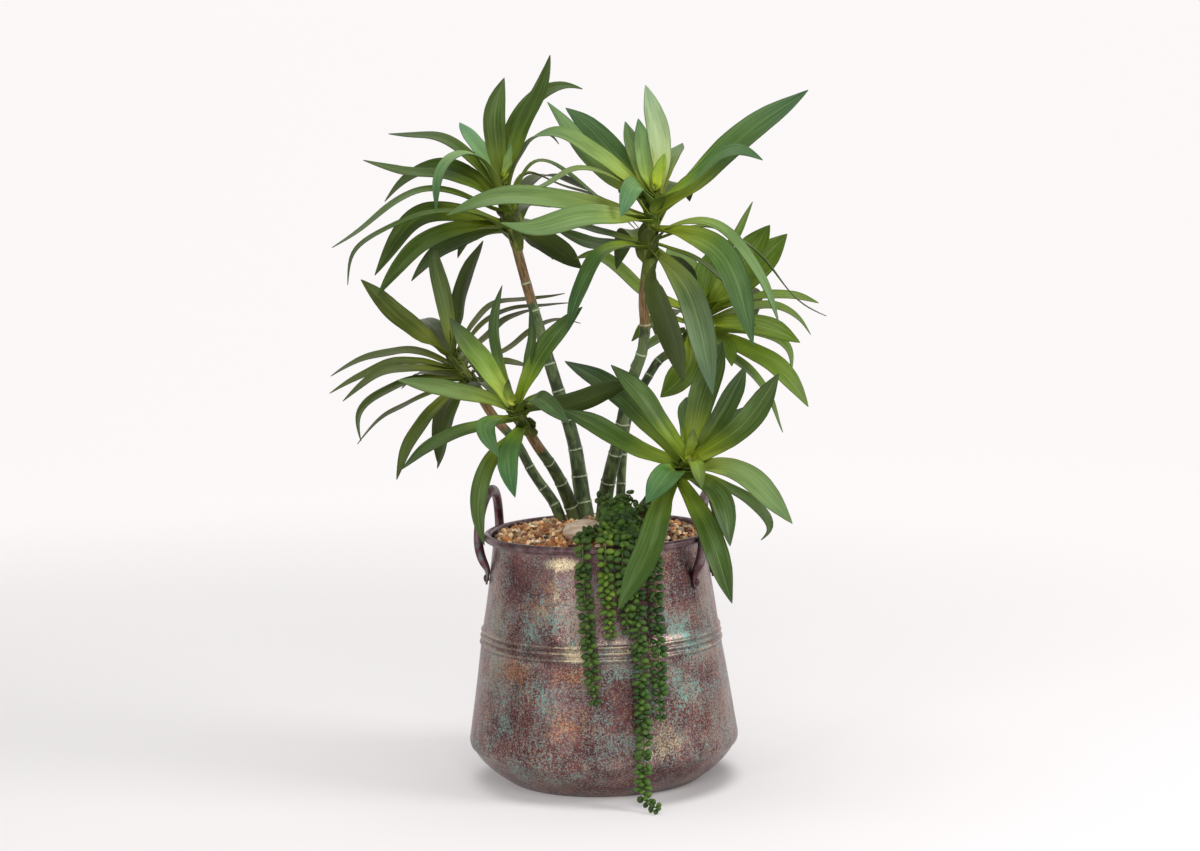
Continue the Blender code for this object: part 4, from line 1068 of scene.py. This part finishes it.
def leafFinish(name, shadedUnderside):
    finish, start = newFinish(name, {"IOR": 1.45, "Specular IOR Level": 0.24})
    grown, tone = attribute(start, "grown"), attribute(start, "tone", "Color")
    across = apart(grown)[1]
    streak = grown.times((1.6, 22, 57)).noise(1, 3, 0.6)
    fibre = grown.times((2.2, 70, 91)).noise(1)
    cloud = grown.times((3, 2.2, 33)).noise(1)
    face = blended(streak.above(0.36, 0.64), blended(0.35, tone, "b4bc9c", "MULTIPLY"),
                   blended(0.07, tone, "cfe08c"))
    colour = coated(face, (cloud.above(0.5, 0.68) * 0.14, "84a468"),
                    (cloud.above(0.5, 0.34) * 0.26, "2c4214"),
                    ((across - 0.5).within((0.035, 0.008)) * 0.13, "a9bd72"),
                    ((across - 0.5).within((0.452, 0.49)) * 0.45, "35431f"))
    # the underside copy is darker than the upper face: painted shade on the side turned from the light
    if shadedUnderside:
        colour = coated(blended(1, colour, "aab086", "MULTIPLY"), (0.18, "55632f"))
    return fed(finish, {"Base Color": colour, "Roughness": (0.44 if shadedUnderside else 0.34) + streak * 0.2,
                        "Normal": raised(fibre * 0.5 + streak, 0.3, 0.0005)})


print("canes and leaves")
caneSkin, upperFace, shadedUnderFace = caneFinish(), leafFinish("leafUpper", False), leafFinish("leafUnderShaded", True)
template = leafTemplate()
for key, head in heads.items():
    piece = makeCane(key, head["crown"])
    dress(piece, caneSkin)
    stands(piece, "cane", "cane_" + key)
    for index in range(len(whorls)):
        leaves = makeWhorl(template, key, index)
        dress(leaves, upperFace, shadedUnderFace)
        applyAll(leaves)
        smooth(leaves, 50)
        stands(leaves, "leaf", "leaves_" + key + "_" + whorls[index])
bpy.data.objects.remove(template)


# trailing sedum: bead leaves in pairs along thin stems

sedum = {
    "clumpAt": (19, -50, 261), "clumpRadii": (18, 36, 24.5), "clumpBeads": 170, "clumpFloor": 249,
    "core": 0.8, "lift": 8, "pairStep": 7.2, "bead": (4.6, 3.5, 3.2), "reach": 4.5, "stem": 0.8, "third": 0.72,
    "strands": {
        "1": {"rim": -16, "end": (-8, 105), "top": [(4, -80, 262), (-8, -91, 262)]},
        "2": {"rim": 6, "end": (9, 168), "top": [(14, -86, 269), (7, -95, 264)]},
        "3": {"rim": 22.5, "end": (26, 172), "top": [(26, -84, 266), (22, -94, 263)]},
        "4": {"rim": 54, "end": (56, 86), "top": [(42, -54, 264), (52, -76, 260)]},
        "5": {"rim": 36, "end": (39, 40), "top": [(38, -72, 262), (38, -88, 261)]},
    },
    "floorRun": [(36, -147, 24), (38.5, -152, 12), (43, -159, 7), (50, -166, 6)],
    "shoots": [[(18, -56, 276), (10, -60, 288), (0, -62, 294)],
               [(30, -54, 280), (34, -58, 290), (31, -60, 295)],
               [(24, -60, 282), (22, -66, 290), (20, -68, 293)],
               [(36, -56, 272), (42, -62, 284), (48, -64, 286)]],
    "tones": {"clump": ("213a10", "50701f"), "1": ("243d0f", "526a24"), "2": ("385616", "748c2e"),
              "3": ("2a4614", "58762a"), "4": ("223e16", "48682a"), "5": ("284414", "526f28")},
}


def onWall(x, z, lift):
    r = wallRadius(z) + lift
    return (x, -math.sqrt(r * r - x * x), z)


def strandRoute(label):
    # from the clump over the rim and down the wall to its end
    row, lift = sedum["strands"][label], sedum["lift"]
    rimX, (endX, endZ) = row["rim"], row["end"]
    route = list(row["top"])
    for r, z in arc((pot["rim"], pot["rimHeight"]), pot["rimBead"] + lift + 0.5, 100, 0, 4):
        route.append((rimX, -math.sqrt(r * r - rimX * rimX), z))
    startZ = pot["rimHeight"] - 30
    count = max(2, int(round((startZ - endZ) / 28)))
    for share in np.linspace(0, 1, count + 1):
        route.append(onWall(rimX + (endX - rimX) * share, startZ + (endZ - startZ) * share, lift + 0.9))
    if label == "5":
        route = route[:-1] + [onWall(endX - 1, pot["footHeight"] + 4, lift + 1)] + sedum["floorRun"]
    return route


def beadTemplate():
    # fuller towards its outer end, drawn to a small foot at the stem
    bead = ball("beadTemplate", 8, 7, radius=1, rotation=(0, math.radians(90), 0))
    resized(bead, lambda corner: corner.x < -0.3, (1.15, 0.8, 0.8), (-0.3, 0, 0))
    shaped(bead, lambda corner: corner.x > 0.95, bpy.ops.transform.translate, value=(0.12, 0, 0))
    return bead


def makeBead(template, at, way, size, tones, draw):
    # one bead with its foot end towards the stem
    way = unitWay(way + strayed(draw, 0.6))
    side = unitWay(np.cross(way, [0.31, 0.17, 0.93]))
    turn = Matrix(np.stack([way, side, np.cross(way, side)], axis=1).tolist()).to_4x4()
    size = [s * size * draw.uniform(0.82, 1.12) for s in sedum["bead"]]
    bead = copyOf(template)
    bead.data.transform(Matrix.Scale(metre, 4) @ Matrix.Translation(at) @ turn @ Matrix.Diagonal((*size, 1)))
    dark, light = (np.array(hexColour(tone)) for tone in tones)
    # the tip of a bead is lighter than its foot
    along = cornersOf(template)[:, :1] * 0.5 + 0.5
    writeLayer(bead, "tone", (dark + (light - dark) * draw.random()) * (0.66 + 0.46 * along))
    low = float(cornersOf(bead)[:, 2].min())
    if low < 0:
        bead.data.transform(Matrix.Translation((0, 0, -low)))
    return bead


def beadedRun(template, route, tones, draw, size=1):
    nodes = max(3, int(round(lengthsAlong(smoothRun(route, 60))[-1] / sedum["pairStep"])))
    points, line = smoothRun(route, nodes), smoothRun(route, nodes * 2)
    halves = [(sedum["stem"],) * 2] * len(line)
    stem, _ = bentRod("stem", line, halves, carriedFrames(line, (1, 0.13, 0.07)), 6)
    writeTone(stem, hexColour("5d6b35"))
    members = [stem]
    for i, point in enumerate(points):
        point = point + strayed(draw, 0.9)
        along = wayAt(points, i)
        front = squareTo(np.array([0, -1, 0.35]), along)
        side = np.cross(along, front)
        fade = size * (0.75 if i >= nodes - 3 or i == 0 else 1)
        for sign in (-1, 1):
            lean = side * sign + front * draw.uniform(-0.1, 0.45) + along * draw.uniform(-0.1, 0.5)
            place = point + unitWay(lean) * sedum["reach"] * fade
            members.append(makeBead(template, place, lean, fade, tones, draw))
        if draw.random() < sedum["third"]:
            lean = front + side * draw.uniform(-0.5, 0.5) + along * draw.uniform(0, 0.5)
            place = point + along * 2.6 + unitWay(lean) * sedum["reach"] * 0.72 * fade
            members.append(makeBead(template, place, lean, fade * 0.85, tones, draw))
    return members


def makeClump(template):
    draw = random.Random(5)
    at, radii = np.array(sedum["clumpAt"]), np.array(sedum["clumpRadii"])
    # a near-black ball fills the clump: painted shade in the gaps between its beads
    core = ball("clumpShadeCore", 16, 10, radius=1)
    shaped(core, everywhere, bpy.ops.transform.vertex_random, offset=0.08, uniform=1, seed=4)
    core.data.transform(sized(at, radii * sedum["core"]))
    writeTone(core, hexColour("16290f"))
    members, count = [core], sedum["clumpBeads"]
    for i in range(count):
        rise = 1 - 2 * (i + 0.5) / count
        ring, turn = math.sqrt(1 - rise * rise), i * 2.39996
        knob = np.array([ring * math.cos(turn), ring * math.sin(turn), rise])
        place = at + knob * radii * draw.uniform(0.84, 1.06)
        if place[2] < sedum["clumpFloor"]:
            continue
        stray = np.array([draw.uniform(-0.9, 0.9), -0.15, draw.uniform(-0.4, 0.9)])
        lean = unitWay(knob / radii) * 0.5 + stray
        members.append(makeBead(template, place, lean, 1.4, sedum["tones"]["clump"], draw))
    for shoot in sedum["shoots"]:
        members += beadedRun(template, shoot, sedum["tones"]["1"], draw, 1.1)
    return joined("sedumClump", members)


def sedumFinish():
    finish, place = newFinish("sedumBeads", {"IOR": 1.45, "Specular IOR Level": 0.4})
    cloud, fine = place.noise(0.22), place.noise(1.1)
    colour = blended(cloud.above(0.4, 0.62) * 0.35, attribute(place, "tone", "Color"), "9cc24c", "SOFT_LIGHT")
    colour = blended(fine.above(0.55, 0.7) * 0.25, colour, "23401c")
    return fed(finish, {"Base Color": colour, "Roughness": 0.38 + fine * 0.15,
                        "Normal": raised(fine, 0.12, 0.0004)})


print("sedum")
beadSkin, bead = sedumFinish(), beadTemplate()
clump = makeClump(bead)
dress(clump, beadSkin)
smooth(clump, 70)
stands(clump, "sedum", "sedum_clump")
for label in sedum["strands"]:
    draw = random.Random(int(label) + 20)
    strand = joined("sedumStrand" + label, beadedRun(bead, strandRoute(label), sedum["tones"][label], draw))
    dress(strand, beadSkin)
    smooth(strand, 70)
    stands(strand, "sedum", "sedum_strand_" + label)
bpy.data.objects.remove(bead)


# floor, light and camera, in metres

studio = {
    "cameraAt": (0.004, -2.6, 0.655), "pitch": 83.47, "roll": -1.47, "lens": 78,
    "halfWidth": 4, "front": -4, "bend": 2, "bendRadius": 1.2, "bendSteps": 12, "height": 4,
    # place, what it faces, the two sizes and the power of each soft lamp
    "lamps": {
        "front": ((0.2, -2.6, 1.9), (0, 0, 0.38), 1.2, 1.2, 22),
        "side": ((2.2, -0.8, 1.5), (0, 0, 0.35), 1, 1, 38),
        "top": ((-0.3, 0.3, 2.6), (0, 0, 0.3), 1.6, 1.6, 18),
        "strip": ((-1.5, -2, 0.86), (0, 0, 0.2), 0.3, 0.8, 8),
    },
    "sky": 0.42, "tint": (1, 0.965, 0.968), "matt": (0.8, 0.79, 0.79, 1),
    "floorShown": 0.6, "floorGlow": 0.32, "paintedShadowLevel": 0.2, "backShown": 0.1, "backGlow": 0.9,
}


def paper(share):
    return (*[studio[share] * c for c in studio["tint"]], 1)


def makeCove():
    # a floor that bends up into the backdrop
    radius, last, steps = studio["bendRadius"], (0, 0), studio["bendSteps"]
    middle, depth = (studio["bend"] + studio["front"]) / 2, studio["bend"] - studio["front"]
    cove = primitive("cove", bpy.ops.mesh.primitive_plane_add, size=1, location=(0, middle, 0))
    resized(cove, everywhere, (studio["halfWidth"] * 2, depth, 1), (0, middle, 0))
    pick(cove, lambda corner: corner.y > studio["bend"] - 0.01)
    for i in range(1, steps + 1):
        turn = math.radians(90 * i / steps)
        now = (radius * math.sin(turn), radius * (1 - math.cos(turn)))
        drawnOut(0, now[0] - last[0], now[1] - last[1])
        last = now
    drawnOut(0, 0, studio["height"])
    mode("OBJECT")
    smooth(cove, 60)
    finish, place = newFinish("paperCove", {"Roughness": 0.9, "Specular IOR Level": 0.1,
                                            "Emission Strength": 1})
    seen = light = place.node("LightPath", {}, {}, "Is Camera Ray")
    for ray in ("Is Glossy Ray", "Is Transmission Ray"):
        seen = seen.maths("MAXIMUM", light.other(ray))
    # painted shade round the plant: the paper is dimmer near a point left of the pot and brightens away from
    # it, all round
    rise = place.distance((-450, 0, 0), (1, 1, 0)).above(450, 2100)
    # painted shadow under the pot: inside a disc a little wider than the pot the glow drops to a dim level,
    # and to none at the right
    shadowGlow = blended(apart(place)[0].above(-20, 110), paper("paintedShadowLevel"), black)
    clear = place.distance((0, -14, 0), (1, 1, 0)).above(117, 145)
    glow = blended(clear, shadowGlow, blended(rise, paper("floorGlow"), paper("backGlow")))
    shown = blended(rise, paper("floorShown"), paper("backShown"))
    dress(cove, fed(finish, {"Base Color": blended(seen, studio["matt"], shown),
                             "Emission Color": blended(seen, black, glow)}))


def makeLamp(name, place, aim, width, height, power):
    clearSelection()
    way = (Vector(aim) - Vector(place)).to_track_quat("-Z", "Y").to_euler()
    bpy.ops.object.light_add(type="AREA", location=place, rotation=way)
    lamp = bpy.context.object
    lamp.name = name
    lamp.data.shape, lamp.data.size, lamp.data.size_y, lamp.data.energy = "RECTANGLE", width, height, power


print("studio")
makeCove()
for name, facts in studio["lamps"].items():
    makeLamp(name, *facts)
world = bpy.data.worlds.new("softRoom")
world.use_nodes = True
seen = Wire(world.node_tree).node("LightPath", {}, {}, "Is Camera Ray")
shown = blended(seen, (studio["sky"],) * 3 + (1,), (*studio["tint"], 1))
fed(world, {"Color": shown}, "Background")
bpy.context.scene.world = world
bpy.context.scene.view_settings.view_transform = "Standard"

pitch, roll = (Matrix.Rotation(math.radians(studio[turn]), 4, axis)
               for turn, axis in (("pitch", "X"), ("roll", "Z")))
clearSelection()
bpy.ops.object.camera_add(location=studio["cameraAt"], rotation=(pitch @ roll).to_euler())
bpy.context.object.data.lens = studio["lens"]
bpy.context.scene.camera = bpy.context.object

clearSelection()
print("done")
